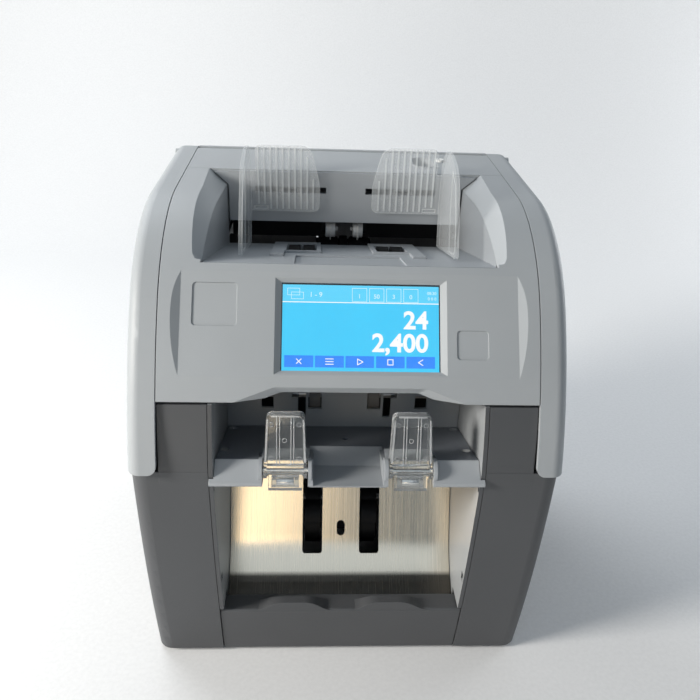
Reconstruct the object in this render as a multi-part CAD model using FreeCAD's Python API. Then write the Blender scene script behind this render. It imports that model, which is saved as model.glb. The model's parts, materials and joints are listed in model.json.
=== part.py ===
import FreeCAD, Part
import math
import os

V = FreeCAD.Vector
os.makedirs("parts", exist_ok=True)

# Driving dimensions of the machine, in millimetres
half_width = 149.0
front_y = -140.0
rear_y = 139.87
foot_height = 4.0
wall = 3.0
seam_gap = 0.6
seam_x = 129.0
side_low_z = 199.0
panel_low_z = 246.7
cover_front_y = 54.9

# Side view of the upper shell: a large front arc, a crown arc and a nearly level top
crown_centre = (10.3, 233.8)
crown_radius = 122.9
front_radius = 318.1
blend_angle = math.radians(143.85)
top_slope = math.radians(3.34)

# Side view of the dark base: one long arc, then a short bend into the upper columns
base_centre = (927.9, 221.0)
base_radius = 1063.0
bend_low_z = 188.0
bend_mid = (-134.8, 196.0)
bend_end = (-133.3, 204.0)
column_mid = (-128.8, 223.0)
column_end = (-121.6, 243.8)
column_x = 95.4

# Pockets and hopper
pocket_x = 92.0
reject_front = (-124.7, 202.3)
reject_fall = 0.2816
reject_back_y = -49.6
sensor_hole_y = -80.5
sensor_hole_radius = 2.6
chute_corner = (-74.0, 65.6)
chute_lean = math.radians(23.5)
lip_top_z = 55.5
hopper_front = (-71.5, 325.2)
hopper_fall = 0.2217
hopper_half_front = 101.9
hopper_taper = 0.0437
crease_front = (-66.0, 324.8)
crease_mid = (-30.0, 341.0)
crease_crown = (10.0, 347.2)
bevel_slope = 0.86

# Running fits and shafts
fit = 0.05
shaft_radius = 3.0
bearing_radius = 6.0
frame_x = 100.0
sheet = 2.0
pulley_x = (106.0, 114.0)
belt_x = (107.0, 113.0)
belt_gap = 0.3
belt_thick = 1.5
pickup_axis = (17.0, 288.1)
feed_axis = (70.0, 283.0)
upper_axis = (84.0, 236.0)
lower_axis = (84.0, 172.0)
exit_axis = (-36.0, 203.0)
stacker_axis = (-22.0, 88.0)
motor_axis = (40.0, 60.0)
gate_axis = (-12.0, 196.0)
pickup_radius = 20.0
feed_radius = 16.0
transport_radius = 17.0
idler_radius = 7.5
exit_radius = 11.5
big_pulley = 12.0
exit_pulley = 9.0
motor_pulley_radius = 8.0
motor_shaft = 2.5
idler_y = upper_axis[0] + transport_radius + idler_radius + 0.4

# Hinges of the moving covers and of the reject stops
cover_axis_y = 114.2
cover_barrel = 5.0
door_axis = (130.0, 208.0)
door_barrel = 10.0
stop_axis = (-128.6, 196.6)
stop_x = 43.2
stop_lean = 15.7
hinge_pin_radius = 2.0

# Local frame of the flat tray in the control panel
panel_point = (-96.5, 291.0)
panel_tilt = 55.9
panel_tray_depth = 3.4
panel_tray_half = 114.3
panel_tray_s = (-36.5, 40.5)
screen_x = 7.0
screen_half = (54.0, 30.0)
blank_pads = ((-106.5, -76.7, -0.6, 28.7), (71.9, 93.5, -21.6, -1.8))

# Knob and separator under the top cover
knob_place = (82.0, 93.0)
knob_radius = 4.0
retard_axis = (64.5, 308.3)
retard_radius = 9.5
retard_x = (7.7, 15.7)
retard_pin = 1.6

# Rear panel: mains socket, switch and ports as x and z spans
inlet_x = 96.0
switch_x = 70.0
socket_z = 42.0
switch_axis = (rear_y - 5.4, socket_z)
switch_tilt = 7.0
port_sizes = ((-124.0, -111.0, 60.0, 66.0), (-124.0, -108.0, 74.0, 88.0), (-124.0, -112.0, 96.0, 102.0))

# Places of screws, feet and board posts
cover_screw_axes = ((-60.0, 30.0), (70.0, 30.0))
foot_places = ((-120.0, -84.0), (120.0, -84.0), (-120.0, 114.0), (120.0, 114.0))
screw_places = ((-87.0, -105.0), (87.0, -105.0), (-87.0, -56.0), (87.0, -56.0))
board_posts = ((0.0, 148.0), (110.0, 148.0), (0.0, 264.0), (110.0, 264.0))

# Roller spans along each shaft
pickup_spans = ((-45.4, -36.4), (-34.0, -25.0), (25.0, 34.0), (36.4, 45.4))
feed_spans = ((-22.0, -5.0), (5.0, 22.0))
transport_spans = ((-71.0, -49.0), (-11.0, 11.0), (49.0, 71.0))
exit_spans = ((-27.6, -18.8), (18.8, 27.6))
wheel_spans = ((-30.0, -17.0), (17.0, 30.0))


def box(x0, x1, y0, y1, z0, z1):
    return Part.makeBox(x1 - x0, y1 - y0, z1 - z0, V(x0, y0, z0))


def rod(x0, x1, axis, radius):
    return Part.makeCylinder(radius, x1 - x0, V(x0, axis[0], axis[1]), V(1, 0, 0))


def ring(x0, x1, axis, outer, inner):
    return rod(x0, x1, axis, outer).cut(rod(x0 - 1, x1 + 1, axis, inner))


def post(x, y, z0, z1, radius):
    return Part.makeCylinder(radius, z1 - z0, V(x, y, z0), V(0, 0, 1))


def mirrored(shape):
    return shape.mirror(V(0, 0, 0), V(1, 0, 0))


def joined(shapes):
    whole = shapes[0]
    if len(shapes) > 1:
        whole = whole.fuse(list(shapes[1:]))
    return whole.removeSplitter()


def both_sides(shape):
    return [shape, mirrored(shape)]


def save(name, shapes):
    if isinstance(shapes, (list, tuple)):
        solids = [solid for shape in shapes for solid in shape.Solids]
    else:
        solids = shapes.Solids
    if len(solids) == 1:
        result = solids[0]
    else:
        result = Part.makeCompound(solids)
    if not result.isValid():
        print("not valid:", name)
    result.exportStep("parts/" + name + ".step")
    size = result.BoundBox
    print(name, len(solids), "x %.1f %.1f y %.1f %.1f z %.1f %.1f" % (
        size.XMin, size.XMax, size.YMin, size.YMax, size.ZMin, size.ZMax))


def is_arc(step):
    return isinstance(step[0], tuple)


def side_wire(start, steps):
    # closed outline in side view: a step is a point, or a pair of arc point and end point
    edges = []
    here = V(0, *start)
    for step in steps:
        if is_arc(step):
            end = V(0, *step[1])
            edges.append(Part.Arc(here, V(0, *step[0]), end).toShape())
        else:
            end = V(0, *step)
            edges.append(Part.LineSegment(here, end).toShape())
        here = end
    first = V(0, *start)
    if here.distanceToPoint(first) > 1e-6:
        edges.append(Part.LineSegment(here, first).toShape())
    return Part.Wire(edges)


def slab(start, steps, x0, x1):
    face = Part.Face(side_wire(start, steps))
    face.translate(V(x0, 0, 0))
    return face.extrude(V(x1 - x0, 0, 0))


def polygon_prism(points, along):
    wire = Part.makePolygon([V(*p) for p in points] + [V(*points[0])])
    return Part.Face(wire).extrude(V(*along))


def round_corners(prism, corners):
    # rounds the edges that stand on the given (x, z) corners of a prism along Y
    for x, z, radius in corners:
        edges = []
        for edge in prism.Edges:
            ends = edge.Vertexes
            if all(abs(end.X - x) < 1e-6 and abs(end.Z - z) < 1e-6 for end in ends):
                edges.append(edge)
        prism = prism.makeFillet(radius, edges)
    return prism


def polar(centre, radius, angle):
    return (centre[0] + radius * math.cos(angle), centre[1] + radius * math.sin(angle))


def top_z(y, inset=0.0):
    start = polar(crown_centre, crown_radius - inset, math.pi / 2 + top_slope)
    return start[1] + math.tan(top_slope) * (y - start[0])


def rim(inset, low_z, back_y):
    # upper outline from the front at low_z, over the crown, to back_y on the top
    reach = crown_radius - front_radius
    front_centre = polar(crown_centre, reach, blend_angle)
    radius = front_radius - inset
    drop = low_z - front_centre[1]
    start = (front_centre[0] - math.sqrt(radius ** 2 - drop ** 2), low_z)
    start_angle = math.atan2(drop, start[0] - front_centre[0])
    blend = polar(crown_centre, crown_radius - inset, blend_angle)
    crown_angle = math.pi / 2 + top_slope
    crown = polar(crown_centre, crown_radius - inset, crown_angle)
    steps = [
        (polar(front_centre, radius, (start_angle + blend_angle) / 2), blend),
        (polar(crown_centre, crown_radius - inset, (blend_angle + crown_angle) / 2), crown),
        (back_y, top_z(back_y, inset)),
    ]
    return start, steps


def rim_points(start, steps):
    # end points of an outline with its arc points, walked backwards
    ends = [start] + [step[1] if is_arc(step) else step for step in steps]
    back = []
    for place in range(len(steps) - 1, -1, -1):
        step = steps[place]
        if is_arc(step):
            back.append((step[0], ends[place]))
        else:
            back.append(ends[place])
    return ends[-1], back


def rim_band(thick, low_z, back_y, x0, x1):
    start, steps = rim(0.0, low_z, back_y)
    inner_end, inner_back = rim_points(*rim(thick, low_z, back_y))
    return slab(start, steps + [inner_end] + inner_back, x0, x1)


def base_y(z, inset=0.0):
    return base_centre[0] - math.sqrt((base_radius - inset) ** 2 - (z - base_centre[1]) ** 2)


def base_steps(inset, low_z):
    # front of the base from low_z up to the bend, as start point and one arc
    mid_z = (low_z + bend_low_z) / 2
    start = (base_y(low_z, inset), low_z)
    return start, [((base_y(mid_z, inset), mid_z), (base_y(bend_low_z, inset), bend_low_z))]


def column_steps(inset):
    # front of a column from the bend up to the control panel
    return [
        ((bend_mid[0] + inset, bend_mid[1]), (bend_end[0] + inset, bend_end[1])),
        ((column_mid[0] + inset, column_mid[1]), (column_end[0] + inset, column_end[1])),
    ]


def reject_z(y):
    return reject_front[1] - reject_fall * (y - reject_front[0])


def hopper_z(y):
    return hopper_front[1] - hopper_fall * (y - hopper_front[0])


def hopper_half(y):
    return hopper_half_front - hopper_taper * (y - hopper_front[0])


cover_axis = (cover_axis_y, top_z(cover_axis_y) - cover_barrel / math.cos(top_slope))


# Side covers: light arches with a turned-in rim, and bosses for the hinge pins
def side_outline_shell(inset, low_z, x0, x1, edge_round):
    corner_radius = 18.0
    back_y = rear_y - 2.0
    centre_y = back_y - corner_radius
    centre = (centre_y, top_z(centre_y) - corner_radius / math.cos(top_slope))
    radius = corner_radius - inset
    tangent = polar(centre, radius, math.pi / 2 + top_slope)
    start, steps = rim(inset, low_z, tangent[0])
    steps = steps[:-1] + [tangent]
    steps.append((polar(centre, radius, math.pi / 4), (centre_y + radius, centre[1])))
    steps.append((centre_y + radius, low_z))
    body = slab(start, steps, x0, x1)
    outer = []
    for edge in body.Edges:
        on_face = all(abs(point.X - x1) < 1e-6 for point in edge.Vertexes)
        if on_face and max(point.Z for point in edge.Vertexes) > low_z + 1e-6:
            outer.append(edge)
    return body.makeFillet(edge_round, outer)


def side_cover():
    edge_round = 9.0
    corner = 6.0
    shell = side_outline_shell(0.0, side_low_z, seam_x, half_width, edge_round)
    shell = shell.cut(side_outline_shell(
        wall, side_low_z - 5, seam_x - 1, half_width - wall, edge_round - wall))
    trim = box(seam_x - 1, seam_x + corner, front_y - 1, front_y + 8, side_low_z - 1, side_low_z + corner)
    keep = Part.makeCylinder(
        corner, 12, V(seam_x + corner, front_y - 2, side_low_z + corner), V(0, 1, 0))
    shell = shell.cut(trim.cut(keep))
    boss_x0 = seam_x + seam_gap
    for axis, boss_radius in ((cover_axis, cover_barrel - 1.0), (door_axis, 5.0)):
        boss = rod(boss_x0, half_width - wall / 2, axis, boss_radius)
        shell = shell.fuse(boss).cut(rod(boss_x0 - 1, boss_x0 + 12, axis, hinge_pin_radius + 0.02))
    return shell.removeSplitter()


# Control panel: curved front with a flat tray, a screen window, and the hopper's bevelled cheeks
def on_panel(shape):
    shape.rotate(V(0, 0, 0), V(1, 0, 0), panel_tilt)
    shape.translate(V(0, panel_point[0], panel_point[1]))
    return shape


def tapered_block(x_half_low, x_half_high, s_low, s_high, n_low, n_high, x_mid=0.0, s_grow=0.0):
    low = [(x_mid - x_half_low, s_low, n_low), (x_mid + x_half_low, s_low, n_low),
           (x_mid + x_half_low, s_high, n_low), (x_mid - x_half_low, s_high, n_low)]
    high = [(x_mid - x_half_high, s_low - s_grow, n_high), (x_mid + x_half_high, s_low - s_grow, n_high),
            (x_mid + x_half_high, s_high + s_grow, n_high), (x_mid - x_half_high, s_high + s_grow, n_high)]
    wires = [Part.makePolygon([V(*p) for p in row] + [V(*row[0])]) for row in (low, high)]
    return Part.makeLoft(wires, True, True)


def rounded_plate(x0, x1, s0, s1, n0, n1, corner):
    plate = box(x0, x1, s0, s1, n0, n1)
    upright = [edge for edge in plate.Edges if abs(edge.Vertexes[0].Z - edge.Vertexes[1].Z) > 1e-6]
    return plate.makeFillet(corner, upright)


def envelope(back_y, half):
    start, steps = rim(0.0, panel_low_z, back_y)
    return slab(start, steps + [(back_y, panel_low_z)], -half, half)


def hopper_plan(grow, back_y):
    # upright prism over the tapering floor of the hopper
    low, high = 250.0, 420.0
    front = hopper_front[0]
    near = hopper_half(front) + grow
    far = hopper_half(back_y) + grow
    plan = [(-near, front, low), (near, front, low), (far, back_y, low), (-far, back_y, low)]
    return polygon_prism(plan, (0, 0, high - low))


def below_crease(back_y, top, depth):
    # strip in side view under the curved edge between the upright wall and the slanted cheek
    points = [crease_front, crease_mid, crease_crown, (back_y, crease_crown[1])]
    start, mid, crown, back = [(y, z - top) for y, z in points]
    front = (hopper_front[0] - 4, start[1] - 2.4)
    return slab(front, [start, (mid, crown), back, (back_y, back[1] - depth), (front[0], front[1] - depth)],
                -130, 130)


def cheek_space(back_y, lower):
    # space above the slanted cheek: its curved edge swept outwards and upwards
    x0 = 90.0
    reach = 32.0
    high = 420.0

    def at(y, z):
        return (y, z - lower + bevel_slope * (x0 - hopper_half(y)))

    front_y = hopper_front[0] - 4
    wire = side_wire(at(front_y, crease_front[1] - 2.4), [
        at(*crease_front), (at(*crease_mid), at(*crease_crown)), at(back_y, crease_crown[1]),
        (back_y, high), (front_y, high)])
    face = Part.Face(wire)
    face.translate(V(x0, 0, 0))
    return face.extrude(V(reach, 0, reach * bevel_slope))


def hopper_well(back_y):
    # space of the hopper: upright over the floor, with slanted cheeks rounded at the front
    front = hopper_front[0] + 1.8
    outer = 113.0
    limit = box(80, outer, front, back_y, 300, 460)
    corner = [edge for edge in limit.Edges
              if all(abs(end.X - outer) < 1e-6 and abs(end.Y - front) < 1e-6 for end in edge.Vertexes)]
    limit = limit.makeFillet(11.0, corner)
    cheek = cheek_space(back_y, 0.0).common(limit)
    return joined([hopper_plan(0.0, back_y)] + both_sides(cheek))


def control_panel():
    half = seam_x - seam_gap
    back_y = cover_front_y - seam_gap
    shell = rim_band(wall, panel_low_z, back_y, -half, half)
    tray_back = on_panel(box(-122, 122, -41.0, 42.0, -panel_tray_depth, 8.0))
    block = envelope(hopper_front[0], half).common(tray_back)
    cheek = cheek_space(back_y, wall).cut(cheek_space(back_y + 5, 0.0))
    cheek = cheek.cut(below_crease(back_y + 5, 0.1, 9.0).common(hopper_plan(wall, back_y + 5)))
    cheek = cheek.common(envelope(back_y, half))
    cheek = cheek.common(box(0, half, hopper_front[0] + 1, back_y, 300, 420))
    brace_half = 69.0
    brace = rim_band(wall + 2.8, panel_low_z, back_y, -brace_half, brace_half)
    brace = brace.common(box(-brace_half, brace_half, -140, -100, panel_low_z, 258.0))
    panel = joined([shell, block, brace] + both_sides(cheek))
    panel = panel.cut(hopper_well(back_y + 20))
    tray_flare = 18.7
    panel = panel.cut(on_panel(tapered_block(
        panel_tray_half, panel_tray_half + tray_flare, *panel_tray_s, 0.0, 8.0, 0.0, 3.0)))
    wide, tall = screen_half
    frame_edge = 4.0
    frame_depth = 2.4
    panel = panel.cut(on_panel(tapered_block(
        wide, wide + frame_edge + 2.0, -tall, tall, -frame_depth, 1.0, screen_x, frame_edge)))
    panel = panel.cut(on_panel(box(screen_x - wide, screen_x + wide, -tall, tall, -20, 1)))
    pad_depth = 0.7
    pad_corner = 2.5
    for pad in blank_pads:
        panel = panel.cut(on_panel(rounded_plate(*pad, -pad_depth, 4, pad_corner)))
    return panel.cut(panel_notch()).removeSplitter()


def panel_notch():
    # trapezium with rounded top corners in the panel's lower edge, shrinking towards the inside
    outer = (-118.9, 256.3)
    top_half = 51.0
    flank_slope = 1.3
    inward = 1.57
    low = 240.0
    rows = []
    for y in (outer[0] - 8, outer[0] + 9):
        drop = inward * (y - outer[0])
        top = outer[1] - drop
        flank = top_half - drop * 0.8
        spread = flank + (top - low) * flank_slope
        rows.append([(-spread, y, low), (spread, y, low), (flank, y, top), (-flank, y, top)])
    wires = [Part.makePolygon([V(*p) for p in row] + [V(*row[0])]) for row in rows]
    notch = Part.makeLoft(wires, True, True)
    corners = [edge for edge in notch.Edges
               if abs(edge.Vertexes[0].Y - edge.Vertexes[1].Y) > 5 and edge.BoundBox.ZMin > low + 1]
    return notch.makeFillet(7.0, corners)


# Display: cover glass and screen module behind the window
def touch_glass():
    return on_panel(rounded_plate(screen_x - 59, screen_x + 59, -34, 34,
                                  -panel_tray_depth - 1.3, -panel_tray_depth - 0.1, 2.0))


def display_module():
    back = on_panel(box(screen_x - 58, screen_x + 58, -34, 34,
                        -panel_tray_depth - 8.0, -panel_tray_depth - 2.0))
    board = on_panel(box(screen_x - 48, screen_x + 48, -30, 30,
                         -panel_tray_depth - 12.0, -panel_tray_depth - 8.0))
    return joined([back, board])


# Hopper: feed tray with rails, roller openings and a finger recess
def feed_tray():
    thick = 2.5
    back_y = 51.5
    front = hopper_front[0] + 0.5
    side = 2.5
    rail = 1.8

    def layer(y0, y1, low, high, x0, x1):
        return slab((y0, hopper_z(y0) + low), [(y1, hopper_z(y1) + low),
                    (y1, hopper_z(y1) + high), (y0, hopper_z(y0) + high)], x0, x1)

    outer_plan = hopper_plan(side - 0.3, back_y)
    floor = layer(front, back_y, -thick, 0.0, -120, 120).common(outer_plan)
    sides = below_crease(back_y, 0.4, 80.0).common(outer_plan.cut(hopper_plan(0.0, back_y)))
    sides = sides.common(layer(front, back_y, -thick, 100.0, -120, 120))
    rails = []
    for x0, x1, y0 in ((48.0, 58.0, -30.0), (20.0, 48.0, -8.0)):
        rails += both_sides(layer(y0, back_y, -thick / 2, rail, x0, x1))
    tray = joined([floor, sides] + rails)
    for corner in both_sides(box(hopper_half(front) - 0.6, 120, front - 1, front + 7.0, 280, 360)):
        tray = tray.cut(corner)
    roller_slot = (23.5, 46.9, -4.0, 38.0)
    tooth_x = (roller_slot[0] + roller_slot[1]) / 2
    tooth = polygon_prism([(tooth_x - 4, roller_slot[3], 270), (tooth_x, roller_slot[3] - 6.4, 270),
                           (tooth_x + 4, roller_slot[3], 270)], (0, 0, 60))
    for opening in both_sides(box(*roller_slot, 270, 330).cut(tooth)):
        tray = tray.cut(opening)
    recess = layer(-66.0, -22.0, -1.4, 6.0, -39.0, 39.0)
    return tray.cut(recess).removeSplitter()


def hopper_back_plate():
    thick = 2.5
    y0 = 52.0
    half = 95.5
    plate = box(-half, half, y0, y0 + thick, 317.5, 358.6)
    flange = box(-half, half, y0 + thick - 0.5, y0 + 13, 352.0, 354.2)
    corner = half - 0.5
    ear = polygon_prism([(corner, y0, 347.0), (107.0, y0, 357.6), (corner, y0, 357.6)], (0, thick, 0))
    plate = joined([plate, flange] + both_sides(ear))
    for slot in both_sides(box(16.2, 74.1, y0 - 1, y0 + thick + 1, 341.5, 346.5)):
        plate = plate.cut(slot)
    return plate.removeSplitter()


# Note guides: ribbed clear plate with a wing, and a slider through the back plate
def note_guide():
    # flat upright wing, thinner on its inner face along the front edge
    wing_x = (77.0, 79.6)
    wing = slab((-39.0, 325.0), [
        ((-39.3, 320.5), (-34.5, 319.0)), (40.0, 302.6), (49.6, 336.0), (49.6, 359.0),
        ((43.0, 375.0), (30.0, 383.0)), ((14.0, 382.8), (0.0, 380.0)),
        ((-12.0, 374.5), (-20.0, 365.0)), ((-29.8, 347.0), (-39.0, 325.0))], *wing_x)
    thin = 0.5
    front_strip = slab((-14.5, 317.0), [
        (-4.0, 345.0), (1.0, 374.0), (-14.0, 367.0), (-27.0, 347.0), (-35.6, 325.5), (-33.0, 321.3)],
        wing_x[0] - 1, wing_x[0] + thin)
    wing = wing.cut(front_strip)
    y0, y1 = 47.2, 49.6
    low, high = 327.5, 380.2
    waist = (21.4, 350.4)
    peak_x = 29.2
    free_end = (73.2, 360.0)
    wing_end = wing_x[0] + 0.2
    inner = [(wing_end, y0, low), (waist[0], y0, low), (waist[0], y0, waist[1]), (peak_x, y0, high),
             (free_end[0], y0, high), (free_end[0], y0, free_end[1]), (wing_end, y0, free_end[1])]
    plate = polygon_prism(inner, (0, y1 - y0, 0))
    plate = round_corners(plate, ((waist[0], low, 5.0), (waist[0], waist[1], 30.0),
                                  (peak_x, high, 10.0), (free_end[0], high, 4.0)))
    plate = plate.cut(box(63.8, 74.2, y0 - 1, y0 + thin, 329.2, 331.6))
    ribs = []
    rib_count = 10
    rib_pitch = 4.91
    for place in range(rib_count):
        x = 70.9 - place * rib_pitch
        foot = 333.5 if place < 2 else 329.5
        top = high - 1.2 if place < 8 else high - 8.0 - (place - 8) * 18.0
        ribs.append(box(x - 0.5, x + 0.5, y0 - 0.7, y0 + 0.2, foot, top))
    plate_back = 54.5
    neck = box(40.0, 52.0, y1 - 0.2, plate_back + 2.4, 342.0, 346.0)
    keeper = box(37.0, 55.0, plate_back + 0.4, plate_back + 2.4, 338.0, 350.0)
    return joined([wing, plate, neck, keeper] + ribs)


# Top cover: hinged at the rear on a round barrel, with an oval recess and an adjusting knob
def top_cover():
    half = seam_x - seam_gap
    tangent = polar(cover_axis, cover_barrel, math.pi / 2 + top_slope)
    inner_radius = cover_barrel - wall
    inner = polar(cover_axis, inner_radius, math.pi / 2 + top_slope)
    lid = slab((cover_front_y, top_z(cover_front_y)), [
        tangent,
        (polar(cover_axis, cover_barrel, math.pi / 4), (cover_axis[0] + cover_barrel, cover_axis[1])),
        (cover_axis[0] + inner_radius, cover_axis[1]),
        (polar(cover_axis, inner_radius, math.pi / 4), inner),
        (cover_front_y, top_z(cover_front_y) - wall)], -half, half)
    lugs = both_sides(rod(119.5, half, cover_axis, cover_barrel - 0.6))
    cup_low = 8.0
    cup_wall = 1.5
    recess = (66.6, 87.5, 8.5, 7.0)
    cup = oblong(recess[0], recess[1], recess[2] + cup_wall, recess[3], top_z(recess[1]) - cup_low, 361.2)
    lid = joined([lid, cup] + lugs)
    lid = lid.cut(oblong(recess[0], recess[1], recess[2], recess[3],
                         top_z(recess[1]) - cup_low + cup_wall, 380))
    lid = lid.cut(post(knob_place[0], knob_place[1], 340, 380, knob_radius + 0.3))
    lid = lid.cut(post(77.4, 72.0, 340, 380, 1.7))
    for lug_bore in both_sides(rod(110, 130, cover_axis, hinge_pin_radius + fit)):
        lid = lid.cut(lug_bore)
    return lid.removeSplitter()


def oblong(x, y, radius, half_straight, z0, z1):
    middle = box(x - radius, x + radius, y - half_straight, y + half_straight, z0, z1)
    ends = [post(x, y - half_straight, z0, z1, radius), post(x, y + half_straight, z0, z1, radius)]
    return joined([middle] + ends)


def feed_gap_knob():
    z = top_z(knob_place[1])
    stem = post(knob_place[0], knob_place[1], z - 16, z + 1.6, knob_radius)
    collar = post(knob_place[0], knob_place[1], z - 7.0, z - wall - 0.8, knob_radius + 1.0)
    x, y = knob_place
    grip = box(x - 0.6, x + 0.6, y - 5, y + 5, z + 0.6, z + 3)
    return joined([stem, collar]).cut(grip)


# Separator: full-width black throat plate under the top cover, with ridged retard rollers on a pin
def separator_bracket():
    throat_half = 95.2
    throat_y = 68.6
    shelf = box(-throat_half, throat_half, 55.4, throat_y + 1.6, 320.5, 322.5)
    ear_x = (retard_x[1] + 0.3, retard_x[1] + 3.3)
    throat = box(-throat_half, throat_half, throat_y, throat_y + 1.6, 299.8, 322.5)
    throat = throat.cut(box(-ear_x[0], ear_x[0], throat_y - 1, throat_y + 3, 290, 320.5))
    hanger = box(-throat_half, throat_half, 55.4, 57.4, 321.5, 336.5)
    parts = [shelf, throat, hanger]
    y, z = retard_axis
    parts += both_sides(box(*ear_x, y - 4, y + 4, z, 321.0))
    parts += both_sides(rod(*ear_x, retard_axis, 4.0))
    bracket = joined(parts)
    for bore in both_sides(rod(ear_x[0] - 1, ear_x[1] - 0.8, retard_axis, retard_pin + fit)):
        bracket = bracket.cut(bore)
    return bracket


def retard_roller():
    # drum with a thin disc round its middle, on a stub axle that shows at the inner end
    axle = rod(retard_x[0] - 2.3, retard_x[1] + 2.3, retard_axis, retard_pin)
    drum = rod(retard_x[0], retard_x[1], retard_axis, retard_radius - 2.2)
    disc_half = 0.5
    middle = (retard_x[0] + retard_x[1]) / 2
    disc = rod(middle - disc_half, middle + disc_half, retard_axis, retard_radius)
    return joined([axle, drum, disc])


# Rear door and rear panel
def rear_door():
    half = seam_x - seam_gap
    corner_radius = 18.0
    centre_y = rear_y - corner_radius
    centre = (centre_y, top_z(centre_y) - corner_radius / math.cos(top_slope))
    front = cover_axis[0] + cover_barrel + 0.7
    tangent = polar(centre, corner_radius, math.pi / 2 + top_slope)
    inner = corner_radius - wall
    inner_tangent = polar(centre, inner, math.pi / 2 + top_slope)
    low = door_barrel - wall
    door = slab((front, top_z(front)), [
        tangent,
        (polar(centre, corner_radius, math.pi / 4), (rear_y, centre[1])),
        (rear_y, door_axis[1]),
        (polar(door_axis, door_barrel, -math.pi / 4), (door_axis[0], door_axis[1] - door_barrel)),
        (door_axis[0], door_axis[1] - low),
        (polar(door_axis, low, -math.pi / 4), (door_axis[0] + low, door_axis[1])),
        (rear_y - wall, centre[1]),
        (polar(centre, inner, math.pi / 4), inner_tangent),
        (front, top_z(front) - wall)], -half, half)
    lugs = both_sides(rod(119.5, half, door_axis, low + 0.4))
    door = joined([door] + lugs)
    for bore in both_sides(rod(110, 130, door_axis, hinge_pin_radius + fit)):
        door = door.cut(bore)
    vent_pitch = 9.0
    for place in range(8):
        z = 240 + place * vent_pitch
        for slot in both_sides(box(20, 100, rear_y - 6, rear_y + 1, z, z + 3.2)):
            door = door.cut(slot)
    return door.removeSplitter()


def rear_panel():
    back = box(-half_width + 0.4, half_width - 0.4, rear_y - 3.2, rear_y, foot_height, 197.2)
    corners = [edge for edge in back.Edges
               if abs(edge.Vertexes[0].Z - edge.Vertexes[1].Z) > 100 and edge.Vertexes[0].Y > rear_y - 1]
    back = back.makeFillet(2.5, corners)
    back = back.cut(box(inlet_x - 14, inlet_x + 14, 130, 150, socket_z - 10.5, socket_z + 10.5))
    back = back.cut(box(switch_x - 7.5, switch_x + 7.5, 130, 150, socket_z - 11, socket_z + 11))
    for x0, x1, z0, z1 in port_sizes:
        back = back.cut(box(x0 - 0.3, x1 + 0.3, 130, 150, z0 - 0.3, z1 + 0.3))
    vent_pitch = 8.0
    for place in range(9):
        z = 105 + place * vent_pitch
        for slot in both_sides(box(25, 110, 130, 150, z, z + 3.0)):
            back = back.cut(slot)
    return back


def interface_ports():
    ports = []
    for x0, x1, z0, z1 in port_sizes:
        shell = box(x0, x1, 122.0, rear_y - 0.4, z0, z1)
        hollow = box(x0 + 0.8, x1 - 0.8, 128.0, rear_y + 1, z0 + 0.8, z1 - 0.8)
        ports.append(shell.cut(hollow))
    return ports


def power_inlet():
    flange = rounded_plate(inlet_x - 13.7, inlet_x + 13.7, socket_z - 10.2, socket_z + 10.2, 0, 22, 3.0)
    hollow = rounded_plate(inlet_x - 11.0, inlet_x + 11.0, socket_z - 7.5, socket_z + 7.5, 5, 30, 3.0)
    shell = flange.cut(hollow)
    blades = []
    for x, z in ((-6.0, -1.8), (6.0, -1.8), (0.0, 2.2)):
        blades.append(box(inlet_x + x - 1, inlet_x + x + 1, socket_z + z - 2, socket_z + z + 2, 4, 19))
    inlet = joined([shell] + blades)
    inlet.rotate(V(0, 0, 0), V(1, 0, 0), 90)
    inlet = inlet.mirror(V(0, 0, 0), V(0, 1, 0))
    inlet.translate(V(0, rear_y - 22.0, 0))
    bridge = box(switch_x, inlet_x, rear_y - 20, rear_y - 16, socket_z - 8, socket_z + 8)
    return joined([inlet, bridge, switch_frame()])


def switch_frame():
    body = box(switch_x - 7.2, switch_x + 7.2, rear_y - 20, rear_y, socket_z - 10.7, socket_z + 10.7)
    hollow = box(switch_x - 5.4, switch_x + 5.4, rear_y - 15, rear_y + 1, socket_z - 8.9, socket_z + 8.9)
    body = body.cut(hollow)
    pin = rod(switch_x - 6.0, switch_x + 6.0, switch_axis, 1.0)
    return joined([body, pin])


def power_switch():
    y, z = switch_axis
    reach = 8.3
    rocker = slab((y + 3.2, z), [(y + 4.2, z + reach), (y - 1.0, z + reach), (y - 3.4, z),
                                 (y - 1.0, z - reach), (y + 4.2, z - reach)],
                  switch_x - 5.0, switch_x + 5.0)
    rocker = rocker.cut(rod(switch_x - 8, switch_x + 8, switch_axis, 1.0 + fit))
    rocker.rotate(V(0, y, z), V(1, 0, 0), switch_tilt)
    return rocker


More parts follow.
